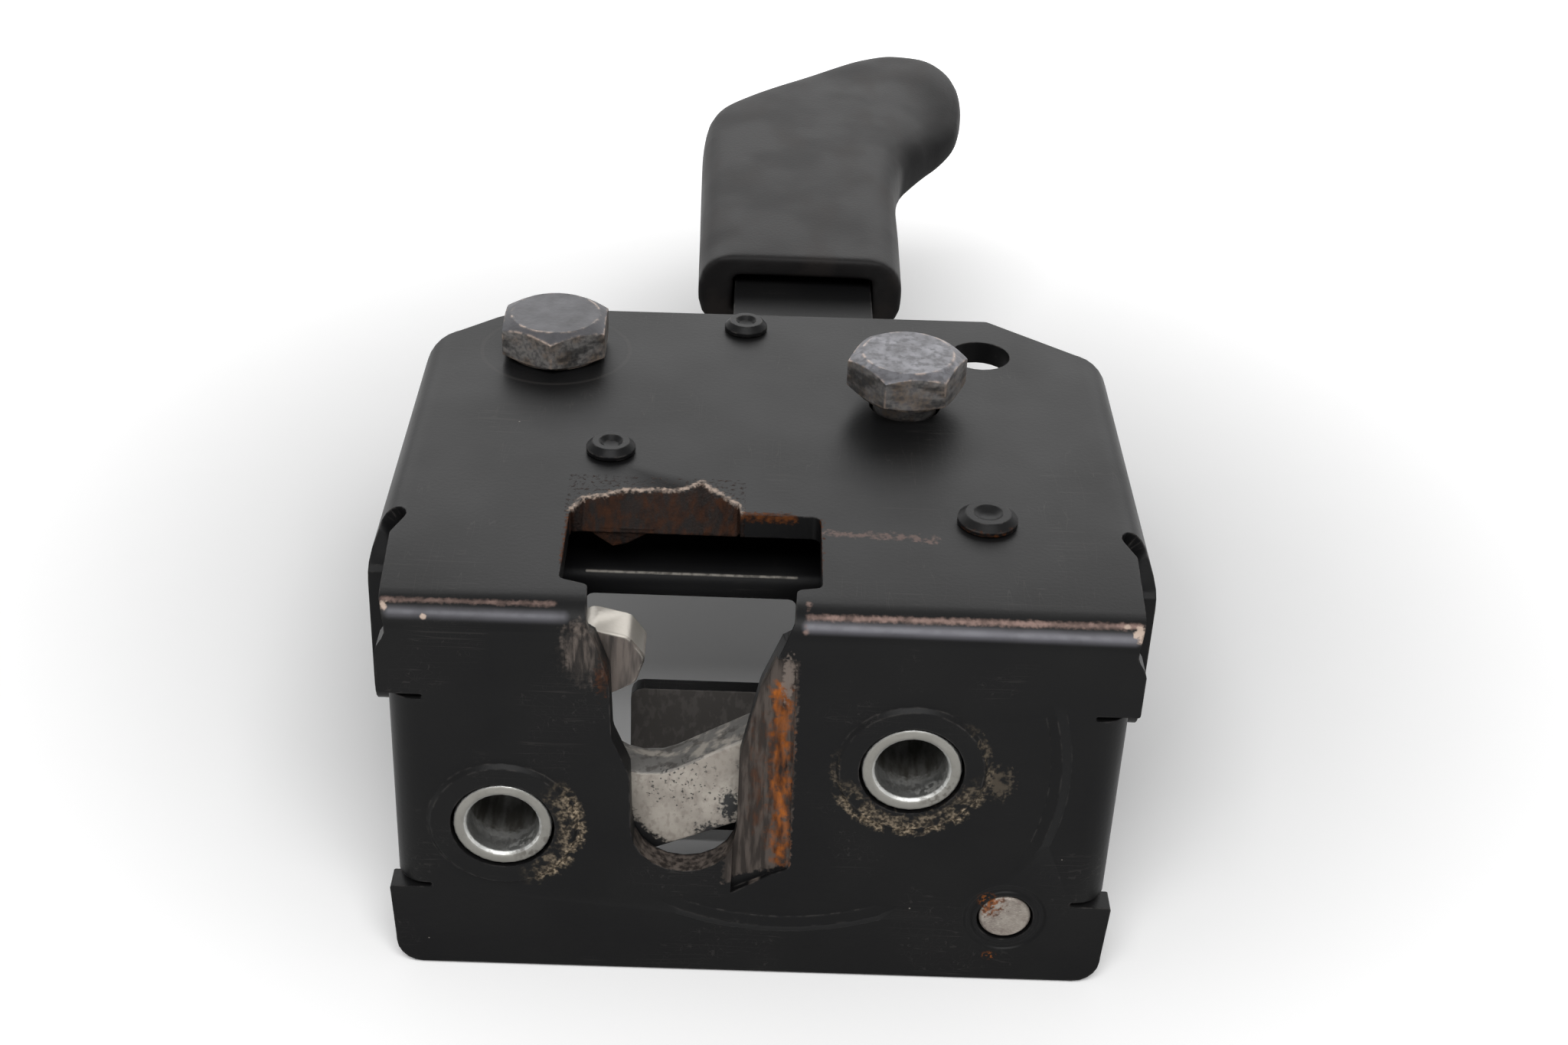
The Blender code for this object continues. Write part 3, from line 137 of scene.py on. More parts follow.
class Finish:
    """One material as it is built up from the metal outwards, layer by layer."""

    def __init__(self, name, colour, roughness, metallic):
        self.material = bpy.data.materials.new(name)
        self.material.use_nodes = True
        self.tree = self.material.node_tree
        self.tree.nodes.clear()
        self.layer = {"colour": colour, "roughness": roughness, "metallic": metallic, "height": 0.0}
        metres = add(self.tree, "ShaderNodeTexCoord", output="Object")
        self.spot = self.vector("SCALE", metres, 1 / MM)
        self.noises = {}

    def vector(self, how, first, second=None):
        """Return what one operation makes of one or two vectors, or of a vector and its scale."""
        links = {0: first}
        if second is not None:
            links["Scale" if how == "SCALE" else 1] = second
        output = "Value" if how in ("DOT_PRODUCT", "LENGTH") else "Vector"
        return add(self.tree, "ShaderNodeVectorMath", links, output, operation=how)

    def join(self, how, *masks):
        """Return several masks taken together by one operation."""
        made = masks[0]
        for mask in masks[1:]:
            made = add(self.tree, "ShaderNodeMath", {0: made, 1: mask}, operation=how)
        return made

    def both(self, *masks):
        """Return the product of masks and shares, which covers only what all of them cover."""
        return self.join("MULTIPLY", *masks)

    def either(self, *masks):
        """Return the largest of several masks, which covers what any of them covers."""
        return self.join("MAXIMUM", *masks)

    def off_by(self, value, wanted):
        """Return how far a value is from the one wanted."""
        off = self.join("SUBTRACT", value, wanted)
        return add(self.tree, "ShaderNodeMath", {0: off}, operation="ABSOLUTE")

    def noise(self, size, detail=3.0, stretch=None, place=None):
        """Return cloudy noise from 0 to 1 whose clouds are size millimetres across."""
        key = (size, detail, stretch, place)
        if key not in self.noises:
            spot = self.spot
            if place:
                spot = self.vector("ADD", spot, place)
            if stretch:
                spot = self.vector("MULTIPLY", spot, stretch)
            cloud = add(self.tree, "ShaderNodeTexNoise",
                        {"Vector": spot, "Scale": 1 / size, "Detail": detail})
            self.noises[key] = map_range(self.tree, cloud, 0.3, 0.7)
        return self.noises[key]

    def ramp(self, value, start, end, low=0.0, high=1.0, smooth=True):
        """Return value turned so that start gives low and end gives high, smoothly or straight."""
        return map_range(self.tree, value, start, end, low, high, "SMOOTHSTEP" if smooth else "LINEAR")

    def frayed(self, distance, inner, outer, fray):
        """Return 1 within inner millimetres and 0 beyond outer, with an edge that noise frays."""
        if fray:
            push = self.ramp(self.noise(max(fray, 0.5), 4.0), 0, 1, -fray, fray, smooth=False)
            distance = self.join("ADD", distance, push)
        return self.ramp(distance, inner, outer, 1.0, 0.0)

    def streak(self, start, end, inner, outer, fray=0.0):
        """Return a mask along the line from start to end, in millimetres."""
        start, end = Vector(start), Vector(end)
        run = end - start
        away = self.vector("SUBTRACT", self.spot, start)
        along = self.vector("DOT_PRODUCT", away, run / run.length_squared)
        near = self.vector("SCALE", run, self.ramp(along, 0, 1, smooth=False))
        return self.frayed(self.vector("LENGTH", self.vector("SUBTRACT", away, near)), inner, outer, fray)

    def patch(self, centre, radii, fray=0.0):
        """Return a mask over an ellipsoid, full at half its radii and gone at its edge."""
        away = self.vector("SUBTRACT", self.spot, centre)
        scaled = self.vector("MULTIPLY", away, [1 / radius for radius in radii])
        return self.frayed(self.vector("LENGTH", scaled), 0.5, 1.0, fray)

    def ring(self, centre, axes, radius, inner, outer, fray=0.0):
        """Return a mask on a circle round centre; axes has 1 for the two axes that the circle lies in."""
        flat = self.vector("MULTIPLY", self.vector("SUBTRACT", self.spot, centre), axes)
        return self.frayed(self.off_by(self.vector("LENGTH", flat), radius), inner, outer, fray)

    def box(self, low, high, soft, fray=0.0):
        """Return a mask inside a box, which fades over soft millimetres outside it."""
        low, high = Vector(low), Vector(high)
        folded = self.vector("ABSOLUTE", self.vector("SUBTRACT", self.spot, (low + high) / 2))
        past = self.vector("SUBTRACT", folded, (high - low) / 2)
        parts = [add(self.tree, "ShaderNodeSeparateXYZ", {0: past}, axis) for axis in "XYZ"]
        return self.frayed(self.either(*parts), 0.0, soft, fray)

    def behind(self, normal, reach, soft, fray=0.0):
        """Return a mask of what lies behind a plane, reach millimetres from the origin along its normal."""
        along = self.vector("DOT_PRODUCT", self.spot, Vector(normal).normalized())
        return self.frayed(self.join("SUBTRACT", along, reach), 0.0, soft, fray)

    def facing(self, direction, start, end):
        """Return a mask of the faces that look along a direction."""
        normal = add(self.tree, "ShaderNodeNewGeometry", output="True Normal")
        return self.ramp(self.vector("DOT_PRODUCT", normal, direction), start, end)

    def edges(self, radius, full):
        """Return a mask of outer and inner edges, up to radius millimetres from them."""
        round_normal = add(self.tree, "ShaderNodeBevel", {"Radius": radius * MM}, samples=BEVEL_SAMPLES)
        normal = add(self.tree, "ShaderNodeNewGeometry", output="Normal")
        return self.ramp(self.vector("DOT_PRODUCT", round_normal, normal), 0.995, full)

    def blend_of(self, share, low, high):
        """Return a colour between two others."""
        return add(self.tree, "ShaderNodeMix", {MIX_SHARE: share, MIX_COLOUR_LOW: low, MIX_COLOUR_HIGH: high},
                   MIX_COLOUR_OUT, data_type="RGBA")

    def lay(self, share, **over):
        """Cover what is there with new colour, roughness, metal or height, by a share from 0 to 1."""
        for channel, high in over.items():
            low = self.layer[channel]
            if channel == "colour":
                self.layer[channel] = self.blend_of(share, low, high)
            else:
                links = {MIX_SHARE: share, MIX_LOW: low, MIX_HIGH: high}
                self.layer[channel] = add(self.tree, "ShaderNodeMix", links)

    def close(self, edge, sheen=None):
        """Link the layers to the shader, with edges rounded by edge metres in its light.

        A coat or a moulding also gets its sheen; a metal keeps the shader's own values.
        """
        normal = add(self.tree, "ShaderNodeBevel", {"Radius": edge}, samples=BEVEL_SAMPLES)
        bumped = add(self.tree, "ShaderNodeBump",
                     {"Height": self.layer["height"], "Distance": MM, "Normal": normal})
        links = {"Base Color": self.layer["colour"], "Roughness": self.layer["roughness"],
                 "Metallic": self.layer["metallic"], "Normal": bumped}
        if sheen is not None:
            links.update({"IOR": COATING_IOR, "Specular IOR Level": sheen})
        shader = add(self.tree, "ShaderNodeBsdfPrincipled", links)
        add(self.tree, "ShaderNodeOutputMaterial", {"Surface": shader})
        return self.material


def specks(finish, size, dot, scarce):
    """Return a mask of small dots, about one in each size millimetres, kept where noise passes scarce."""
    cell = add(finish.tree, "ShaderNodeTexVoronoi", {"Vector": finish.spot, "Scale": 1 / size}, "Distance")
    dots = finish.ramp(cell, dot / size * 0.6, dot / size, 1.0, 0.0)
    return finish.both(dots, finish.ramp(finish.noise(size * 2.5, 1.0), scarce, scarce + 0.1))


def scratches(finish, stretch, place):
    """Return a mask of hair-thin, nearly straight scratches that run along the least stretched axis."""
    near = finish.off_by(finish.noise(1.0, 1.0, stretch, place), 0.5)
    thin = finish.ramp(near, 0.004, 0.02, 1.0, 0.0)
    return finish.both(thin, finish.ramp(finish.noise(13.0, 2.0), 0.55, 0.8))


def lay_rust(finish, share, size=0.8, fresh=0.5, depth=0.03, stretch=None):
    """Cover part of a finish with rust, which is rough, dull and slightly raised in grains.

    Its blotches are size millimetres across, and fresh says how orange the palest of them are.
    """
    look = bpy.context.scene.latch_looks
    grains = finish.ramp(finish.noise(0.35, 5.0), 0, 1, 0, depth, smooth=False)
    blotch = finish.ramp(finish.noise(size, 5.0, stretch), 0.1, 0.9, 0.0, fresh, smooth=False)
    tint = finish.blend_of(blotch, look.rust_dark, look.rust_fresh)
    finish.lay(share, colour=tint, roughness=0.85, metallic=0.0, height=grains)


def dip_coated_steel(name, edge_wear=0.3):
    """Start the black coat of dipped and baked steel: satin, with a fine orange peel and a dusty film."""
    look = bpy.context.scene.latch_looks
    coat = Finish(name, look.coat, 0.38, 0.0)
    coat.lay(coat.noise(14.0, 4.0), colour=look.coat_film, roughness=0.46)
    coat.lay(coat.noise(0.5, 2.0), height=0.006)
    hairs = coat.either(scratches(coat, (0.03, 1.3, 1.3), (0.0, 3.0, 0.0)),
                        scratches(coat, (0.9, 0.05, 0.9), (7.0, 0.0, 2.0)))
    coat.lay(coat.both(hairs, 0.08), colour=look.scuff, roughness=0.5)
    worn = coat.both(coat.edges(0.3, 0.90), coat.ramp(coat.noise(1.6, 4.0), 0.35, 0.8))
    coat.lay(coat.both(worn, edge_wear), colour=look.scuff, roughness=0.5, metallic=0.2)
    return coat


def wear_the_bend(coat, look):
    """Rub the coat through to brown steel along the front bend, paint a highlight along its ridge and chip
    its ends.
    """
    bend = coat.either(coat.both(coat.streak(*LEFT_BEND, 0.0, 0.5, 0.15), 0.65),
                       coat.streak(*RIGHT_BEND, 0.0, 0.6, 0.15))
    coat.lay(coat.both(bend, coat.ramp(coat.noise(1.5, 5.0), 0.1, 0.8, 0.45, 1.0)),
             colour=look.worn_edge, roughness=0.6, metallic=0.1)
    # The pale line along the bend's ridge, and its brighter core, are painted highlight on coat that is
    # partly polished there.
    ridge = coat.either(coat.both(coat.streak(*LEFT_HIGHLIGHT_LINE, 0.0, 1.0), 0.7),
                        coat.streak(*RIGHT_HIGHLIGHT_LINE, 0.0, 1.0))
    coat.lay(coat.both(ridge, coat.ramp(coat.noise(5.0, 4.0), 0.1, 0.7, 0.7, 1.0)),
             colour=look.burnish, roughness=0.4)
    crest = coat.either(coat.both(coat.streak(*LEFT_HIGHLIGHT_LINE, 0.0, 0.4), 0.5),
                        coat.streak(*RIGHT_HIGHLIGHT_LINE, 0.0, 0.45))
    coat.lay(coat.both(crest, coat.ramp(coat.noise(1.8, 6.0), 0.1, 0.9, 0.25, 0.7)),
             colour=look.bolt_pale, roughness=0.35)
    chips = coat.either(coat.patch((40.6, -38.6, -1.2), (0.9, 1.1, 1.4), 0.35),
                        coat.patch((-36.4, -39.2, -1.6), (0.45, 0.45, 0.45), 0.2),
                        coat.patch((-40.7, -38.3, -1.0), (0.5, 0.9, 0.7), 0.3),
                        coat.patch((39.2, -38.2, -0.5), (0.5, 0.4, 0.4), 0.2))
    coat.lay(coat.both(chips, 0.85), colour=look.chip, roughness=0.5, metallic=0.2)
    corner = coat.streak((4.9, -36.5, -0.2), (4.6, -39.3, -1.9), 0.05, 0.5, 0.15)
    coat.lay(coat.both(corner, 0.7), colour=look.worn_edge, roughness=0.6)


def wear_the_slot(coat, look):
    """Rub a rusty band right of the slot and scrape its left lip, as the door's striker did."""
    band = coat.join("MINIMUM",
                     coat.box((-3.2, -41.5, -40.0), (3.9, -38.6, -5.5), 0.4, 0.3),
                     coat.behind((0.371, 0.0, -1.0), 33.0, 0.5, 0.4))
    grainy = coat.ramp(coat.noise(0.7, 5.0, (1.0, 1.0, 0.14)), 0.15, 0.95)
    coat.lay(band, colour=coat.blend_of(coat.ramp(grainy, 0, 1, 0.0, 0.36), look.worn_dark, look.worn_light),
             roughness=0.6, metallic=0.1, height=coat.ramp(grainy, 0, 1, 0.0, 0.03))
    orange = coat.streak((2.4, FRONT, -9.5), (2.9, FRONT, -33.0), 0.2, 1.7, 0.8)
    brown = coat.streak((0.4, FRONT, -14.0), (0.6, FRONT, -30.0), 0.4, 2.0, 1.0)
    streaky = coat.ramp(coat.noise(0.6, 5.0, (1.0, 1.0, 0.2)), 0.25, 0.75)
    drawn = (1.0, 1.0, 0.3)
    lay_rust(coat, coat.both(brown, band, streaky, 0.4), 1.0, 0.3, stretch=drawn)
    lay_rust(coat, coat.both(orange, band, coat.ramp(streaky, 0, 1, 0.7, 1.0)), 1.1, 1.0, stretch=drawn)
    coat.lay(coat.both(coat.patch((3.0, FRONT, -7.8), (0.9, 2.5, 3.8), 0.4), 0.8),
             colour=look.worn_light, roughness=0.45, metallic=0.4)
    scrape = coat.patch((-19.3, FRONT, -5.2), (3.0, 3.0, 5.0), 0.2)
    coat.lay(coat.both(scrape, coat.ramp(grainy, 0, 1, 0.1, 0.7)),
             colour=look.worn_light, roughness=0.5, metallic=0.2)
    lay_rust(coat, coat.both(coat.patch((-17.2, FRONT, -8.4), (1.0, 2.0, 2.8), 0.5), 0.4), 0.6, 0.25)
    lip = coat.both(coat.box((-15.0, -40.8, -36.5), (0.5, -37.4, -29.5), 0.5), coat.facing(UP, 0.2, 0.7), 0.6)
    coat.lay(lip, colour=coat.blend_of(grainy, look.worn_dark, look.worn_light), roughness=0.55, metallic=0.1)


def batter_the_rim(coat, look):
    """Chip the thin torn edge behind the opening, over its dark rusty slope, and let rust run from it."""
    slope = coat.box((-22.7, -19.6, -6.0), (-2.6, -11.2, -0.25), 0.25, 0.15)
    lay_rust(coat, slope, 0.8, 0.06, 0.10, (1.0, 0.6, 0.6))
    soot = coat.both(slope, coat.ramp(coat.noise(1.1, 6.0, (1.0, 0.4, 0.4)), 0.3, 0.75))
    coat.lay(coat.both(soot, 0.75), colour=look.coat_film, roughness=0.6)
    rims = [coat.streak((*start, 0.0), (*end, 0.0), 0.05, 0.55, 0.3)
            for start, end in zip(TORN_RIM, TORN_RIM[1:])]
    bright = coat.ramp(coat.noise(1.1, 6.0), 0.15, 0.7)
    broken = coat.ramp(coat.noise(0.7, 7.0, None, (4.0, 1.0, 0.0)), 0.2, 0.55, 0.3, 1.0)
    coat.lay(coat.both(coat.either(*rims), broken),
             colour=coat.blend_of(bright, look.worn_light, look.chip), roughness=0.6)
    stain = coat.either(coat.streak((-2.8, -18.6, -0.3), (3.2, -18.6, -0.3), 0.2, 0.8, 0.4),
                        coat.streak((-22.4, -30.0, -0.2), (-22.4, -20.0, -0.2), 0.1, 0.4, 0.3),
                        coat.streak((6.5, -30.0, -0.4), (6.5, -19.0, -0.4), 0.1, 0.4, 0.3))
    lay_rust(coat, coat.both(stain, 0.8), 0.6, 0.35)
    run = coat.either(coat.streak((6.8, -22.0, 0.0), (12.5, -22.4, 0.0), 0.1, 0.8, 0.5),
                      coat.streak((12.0, -22.2, 0.0), (19.0, -22.6, 0.0), 0.2, 1.0, 0.7))
    faint = coat.both(run, coat.ramp(coat.noise(1.2, 5.0), 0.25, 0.7), 0.45)
    coat.lay(faint, colour=look.worn_edge, roughness=0.7)


def lay_collar_dirt(coat, look):
    """Pack dirt round the pressed collars, mostly on the side that water ran to."""
    crumbs = coat.ramp(coat.noise(1.3, 8.0), 0.25, 0.62)
    grit = coat.noise(0.4, 4.0)
    tint = coat.blend_of(coat.ramp(grit, 0.2, 0.9), look.dirt_dark, look.dirt_pale)
    # For each pivot: where the wet side is from it, and how far the dirt reaches there.
    for (x, z), wet, reach in ((CLAW_PIVOT, (7.5, -2.5), (7.0, 5.0, 9.5)),
                               (PAWL_PIVOT, (0.5, -7.0), (13.0, 5.0, 8.5))):
        pivot = (x, FRONT, z)
        packed = coat.ring(pivot, UPRIGHT, 8.5, 0.3, 1.1, 0.4)
        heap = coat.patch((x + wet[0], FRONT, z + wet[1]), reach)
        strewn = coat.both(coat.ring(pivot, UPRIGHT, 7.2, 0.2, 1.3, 0.5), heap, crumbs, 0.45)
        lower = coat.behind((-0.3, 0.0, 1.0), z - 2.0, 3.0)
        trace = coat.both(coat.ring(pivot, UPRIGHT, 8.6, 0.1, 0.6, 0.4), crumbs, lower, 0.25)
        dirt = coat.either(coat.both(packed, heap, crumbs), strewn, trace)
        coat.lay(dirt, colour=tint, roughness=0.95, height=coat.ramp(grit, 0, 1, 0.04, 0.16))
    smear = coat.patch((27.2, FRONT, -20.8), (1.7, 2.0, 2.6), 0.5)
    coat.lay(coat.both(smear, crumbs, 0.15), colour=look.dirt_pale, roughness=0.95)


def housing_finish():
    """The housing's coat with the wear, rust and dirt of the real one, each in its place."""
    look = bpy.context.scene.latch_looks
    coat = dip_coated_steel("dip_coated_folded_steel")
    coat.lay(coat.both(specks(coat, 5.0, 0.13, 0.6), 0.7), colour=look.dust, roughness=0.8)
    wear_the_bend(coat, look)
    wear_the_slot(coat, look)
    batter_the_rim(coat, look)
    lay_collar_dirt(coat, look)
    spots = coat.either(coat.patch((27.2, FRONT, -37.9), (1.6, 2.0, 1.4), 0.5),
                        coat.patch((28.1, FRONT, -46.4), (1.2, 2.0, 0.8), 0.5))
    lay_rust(coat, coat.both(spots, coat.ramp(coat.noise(0.5, 5.0), 0.45, 0.65)), 0.5, 0.6)

    # A pressed ring shows round the stud's end and, very faintly, the print of a washer round a bolt.
    coat.lay(coat.ring((STUD[0], FRONT, STUD[1]), UPRIGHT, 4.3, 0.1, 0.7), height=-0.4)
    washer_print = coat.ring((*LEFT_BOLT, 0.0), LEVEL, 9.5, 0.1, 0.4)
    coat.lay(coat.both(washer_print, 0.08), colour=look.scuff, roughness=0.6)
    return coat.close(look.edge_radius, COAT_SHEEN)


def carrier_finish():
    """The inner bracket's coat: a pale line along the shelf's edge that is painted highlight over a partly
    worn edge, dusty low down.
    """
    look = bpy.context.scene.latch_looks
    coat = dip_coated_steel("dip_coated_bracket_steel", 0.25)
    # This pale line is painted highlight along the shelf's edge, partly also a worn edge.
    line = coat.streak((-20.6, -17.2, -9.3), (4.0, -17.2, -9.3), 0.1, 0.27)
    coat.lay(coat.both(line, coat.ramp(coat.noise(0.8, 5.0), 0.1, 0.7, 0.3, 0.8)),
             colour=look.dust, roughness=0.45)
    dusty = coat.ramp(coat.noise(0.8, 6.0, (1.0, 1.0, 0.5)), 0.4, 0.85)
    low = coat.box((-24.0, -19.0, -38.0), (8.0, -15.0, -25.0), 3.0)
    upright = coat.facing(UP, 0.6, 0.2)
    coat.lay(coat.both(coat.ramp(dusty, 0, 1, 0.6, 0.8), low, upright), colour=look.scuff, roughness=0.7)
    return coat.close(look.edge_radius, COAT_SHEEN / 2)


def plain_coat_finish():
    """The coat of a lever or rivet, which has only its worn edges and rust at one rivet's rim."""
    look = bpy.context.scene.latch_looks
    coat = dip_coated_steel("dip_coated_lever_steel", 0.45)
    rim = coat.ring((*TRANSFER_RIVET, 0.2), LEVEL, 3.9, 0.1, 0.5, 0.3)
    lay_rust(coat, coat.both(rim, coat.patch((25.0, -22.0, 0.3), (5.0, 3.0, 2.0)), 0.7), 0.6, 0.4)
    return coat.close(look.edge_radius, COAT_SHEEN)


def worn_claw_finish():
    """Stamped steel rubbed by the striker: a matt cream face, fine specks, leftover coat, painted shade along
    the jaw's lower rim and a bright tip.
    """
    look = bpy.context.scene.latch_looks
    steel = Finish("stamped_steel_rubbed_bright", look.claw_cream, 0.5, 0.25)
    steel.lay(steel.ramp(steel.noise(3.5, 5.0), 0.3, 0.9, 0.0, 0.8), colour=look.claw_pale, roughness=0.45)
    fine = steel.ramp(steel.noise(0.6, 6.0, (1.0, 1.0, 0.6)), 0.45, 0.95, 0.0, 0.4)
    steel.lay(fine, colour=look.worn_light, roughness=0.6)
    upward = steel.facing(UP, 0.3, 0.8)
    steel.lay(steel.both(upward, 0.9), colour=look.claw_dust, roughness=0.6, metallic=0.3)
    rubbed = steel.ramp(steel.noise(1.6, 7.0, (0.5, 1.0, 1.0), (2.0, 5.0, 1.0)), 0.45, 0.85, 0.0, 0.75)
    steel.lay(steel.both(upward, rubbed), colour=look.claw_pale, roughness=0.5)
    grimy = steel.ramp(steel.noise(1.3, 7.0, None, (9.0, 2.0, 4.0)), 0.5, 0.85, 0.0, 0.6)
    steel.lay(steel.both(upward, grimy), colour=look.worn_dark, roughness=0.7)
    steel.lay(steel.noise(0.5, 3.0), height=0.010)

    # Specks of the old coat lie close together in the jaw's upper half and thin out below.
    crowd = steel.patch((-8.5, -37.5, -25.0), (6.5, 4.0, 6.0))
    sprinkle = steel.either(steel.ramp(steel.noise(0.5, 7.0), 0.68, 0.9), specks(steel, 0.75, 0.14, 0.2))
    lie = steel.ramp(steel.join("ADD", steel.noise(1.8, 4.0), crowd), 0.6, 1.5, 0.05, 0.9)
    steel.lay(steel.both(sprinkle, lie), colour=look.coat, roughness=0.6, metallic=0.0)

    # Black coat is laid on the jaw's lower rim as painted shade, partly also coat left there, and in scabs of
    # coat at its right and far to the left.
    rim = steel.both(steel.ring(JAW_CENTRE, UPRIGHT, 9.4, 2.1, 2.7, 0.5),
                     steel.behind((-0.55, 0.0, 1.0), -19.5, 2.0, 0.5),
                     steel.box((-16.0, -60.0, -60.0), (60.0, 0.0, 0.0), 0.1))
    scab = steel.either(steel.patch((-2.9, -36.6, -28.2), (1.3, 3.0, 2.6), 0.5),
                        steel.patch((-4.2, -36.6, -32.0), (3.2, 3.0, 1.5), 0.5))
    coat_left_and_shade = steel.either(rim, scab, steel.box((-60.0, -60.0, -60.0), (-23.5, 0.0, 0.0), 1.5, 0.8))
    steel.lay(coat_left_and_shade, colour=look.coat, roughness=0.45, metallic=0.0)

    # The finger is polished on top, while its front keeps brown strokes.
    finger = steel.box((-24.0, -60.0, -14.0), (-8.0, 0.0, 4.0), 0.5)
    strokes = steel.ramp(steel.noise(0.9, 5.0, (1.0, 1.0, 0.12)), 0.1, 0.9, 0.0, 0.7)
    steel.lay(steel.both(finger, steel.facing(FORWARD, 0.3, 0.7)),
              colour=steel.blend_of(strokes, look.worn_dark, look.worn_light), roughness=0.5, metallic=0.3)
    top = steel.both(finger, steel.facing(UP, 0.35, 0.6))
    steel.lay(top, colour=look.bare_bright, roughness=0.4, metallic=0.5)
    edge = steel.both(steel.edges(0.35, 0.9), steel.ramp(steel.noise(1.0, 3.0), 0.3, 0.7), 0.8)
    steel.lay(edge, colour=look.bare_bright, roughness=0.35, metallic=0.7)
    return steel.close(look.edge_radius)


def zinc_finish(name, colour, bright, centre=None):
    """Zinc plate on turned or pressed steel, softly clouded; a bush with a centre gets painted shade, with a
    little grease, deep in its bore and on its upper wall.
    """
    look = bpy.context.scene.latch_looks
    plate = Finish(name, colour, 0.42, 1.0)
    plate.lay(plate.ramp(plate.noise(2.2, 5.0), 0.2, 0.9, 0.0, 0.7), colour=bright, roughness=0.34)
    plate.lay(plate.ramp(plate.noise(0.4, 5.0), 0.6, 0.9, 0.0, 0.35), colour=look.zinc_spot, roughness=0.6)
    plate.lay(plate.noise(0.3, 3.0), height=0.005)
    if centre:
        plate.lay(plate.both(plate.facing(FORWARD, 0.6, 0.9), 0.9), colour=look.zinc_spot, roughness=0.5)
        x, z = centre
        left, right, floor, roof = x - BORE_REACH, x + BORE_REACH, z - BORE_REACH, z + BORE_REACH
        # Deep in the bore the zinc is darkened: painted shade, with a little old grease.
        deep = plate.box((left, -35.8, floor), (right, -10.0, roof), 2.5, 0.6)
        streaks = plate.ramp(plate.noise(1.2, 4.0, (1.0, 0.2, 1.0)), 0.2, 0.9, 0.75, 0.95)
        plate.lay(plate.both(deep, streaks), colour=look.bore_brown, roughness=0.55, metallic=0.5)
        # The bore's upper wall, which faces down, is darkened too: painted shade.
        upper = plate.both(plate.behind(DOWN, -z - 0.5, 1.5),
                           plate.box((left, -38.9, floor), (right, -10.0, roof), 0.6), 0.8)
        plate.lay(upper, colour=look.bore_brown, roughness=0.55, metallic=0.5)
        stain = plate.both(plate.patch((x + 3.0, -39.6, z - 2.5), (4.0, 2.0, 3.5)),
                           plate.ramp(plate.noise(0.7, 5.0), 0.45, 0.75), 0.5)
        plate.lay(stain, colour=look.dirt_dark, roughness=0.7, metallic=0.3)
    return plate.close(look.edge_radius)


def weathered_bolt_finish(name, pale):
    """Old zinc plate on forged bolts: grey with a pale bloom, brown stained flats and knocked edges."""
    look = bpy.context.scene.latch_looks
    plate = Finish(name, look.bolt_grey, 0.5, 0.6)
    plate.lay(plate.ramp(plate.noise(3.0, 6.0), 0.35, 0.85, 0.0, 0.6), colour=look.bolt_dark, roughness=0.56)
    plate.lay(0.65 * (1 - pale), colour=look.coat_film, roughness=0.6)
    bloom = plate.ramp(plate.noise(2.2, 9.0), 0.0, 1.0, 0.15 * pale, 0.85 * pale, smooth=False)
    plate.lay(bloom, colour=look.bolt_pale, roughness=0.46)
    pores = plate.ramp(plate.noise(0.8, 9.0, None, (3.0, 8.0, 1.0)), 0.35, 0.9, 0.0, 0.65)
    plate.lay(pores, colour=look.bolt_dark, roughness=0.6, metallic=0.3)
    plate.lay(plate.noise(0.6, 6.0), height=0.018)
    sides = plate.facing(UP, 0.7, 0.2)
    tint = plate.blend_of(plate.ramp(plate.noise(2.5, 4.0), 0.3, 0.8), look.bolt_flat, look.bolt_brown)
    plate.lay(plate.both(sides, plate.ramp(plate.noise(0.5, 7.0), 0.2, 0.9, 0.95, 0.35)),
              colour=tint, roughness=0.55, metallic=0.2)
    stains = plate.ramp(plate.noise(1.6, 8.0, (0.5, 0.5, 1.2)), 0.3, 0.9, 0.0, 0.75)
    plate.lay(plate.both(sides, stains), colour=look.coat_film, roughness=0.6)
    knocks = plate.both(plate.edges(0.55, 0.97), plate.ramp(plate.noise(1.3, 7.0), 0.35, 0.85), 0.75)
    plate.lay(knocks, colour=look.chip, roughness=0.42, metallic=0.6)
    return plate.close(look.edge_radius)


def stud_finish():
    """The stop stud's end: bare sawn steel with faint scratches, rust at its upper left."""
    look = bpy.context.scene.latch_looks
    end = Finish("sawn_stud_steel", look.claw_cream, 0.5, 0.4)
    end.lay(end.noise(1.2, 4.0), colour=look.worn_light, roughness=0.55)
    end.lay(end.ramp(end.noise(0.3, 3.0, (1.0, 1.0, 5.0)), 0.5, 0.9, 0.0, 0.6), colour=look.claw_pale)
    rusty = end.both(end.patch((STUD[0] - 2.2, FRONT, STUD[1] + 2.0), (2.4, 3.0, 2.2), 0.5),
                     end.ramp(end.noise(0.6, 5.0), 0.3, 0.6))
    lay_rust(end, rusty, 0.5, 0.8)
    return end.close(look.edge_radius)


def spring_finish():
    """Oiled spring wire: dark blue-grey with brown in its dull places."""
    look = bpy.context.scene.latch_looks
    wire = Finish("oiled_spring_wire", look.spring_grey, 0.38, 1.0)
    wire.lay(wire.ramp(wire.noise(1.5, 4.0), 0.4, 0.8), colour=look.worn_dark, roughness=0.55)
    return wire.close(0.1 * MM)


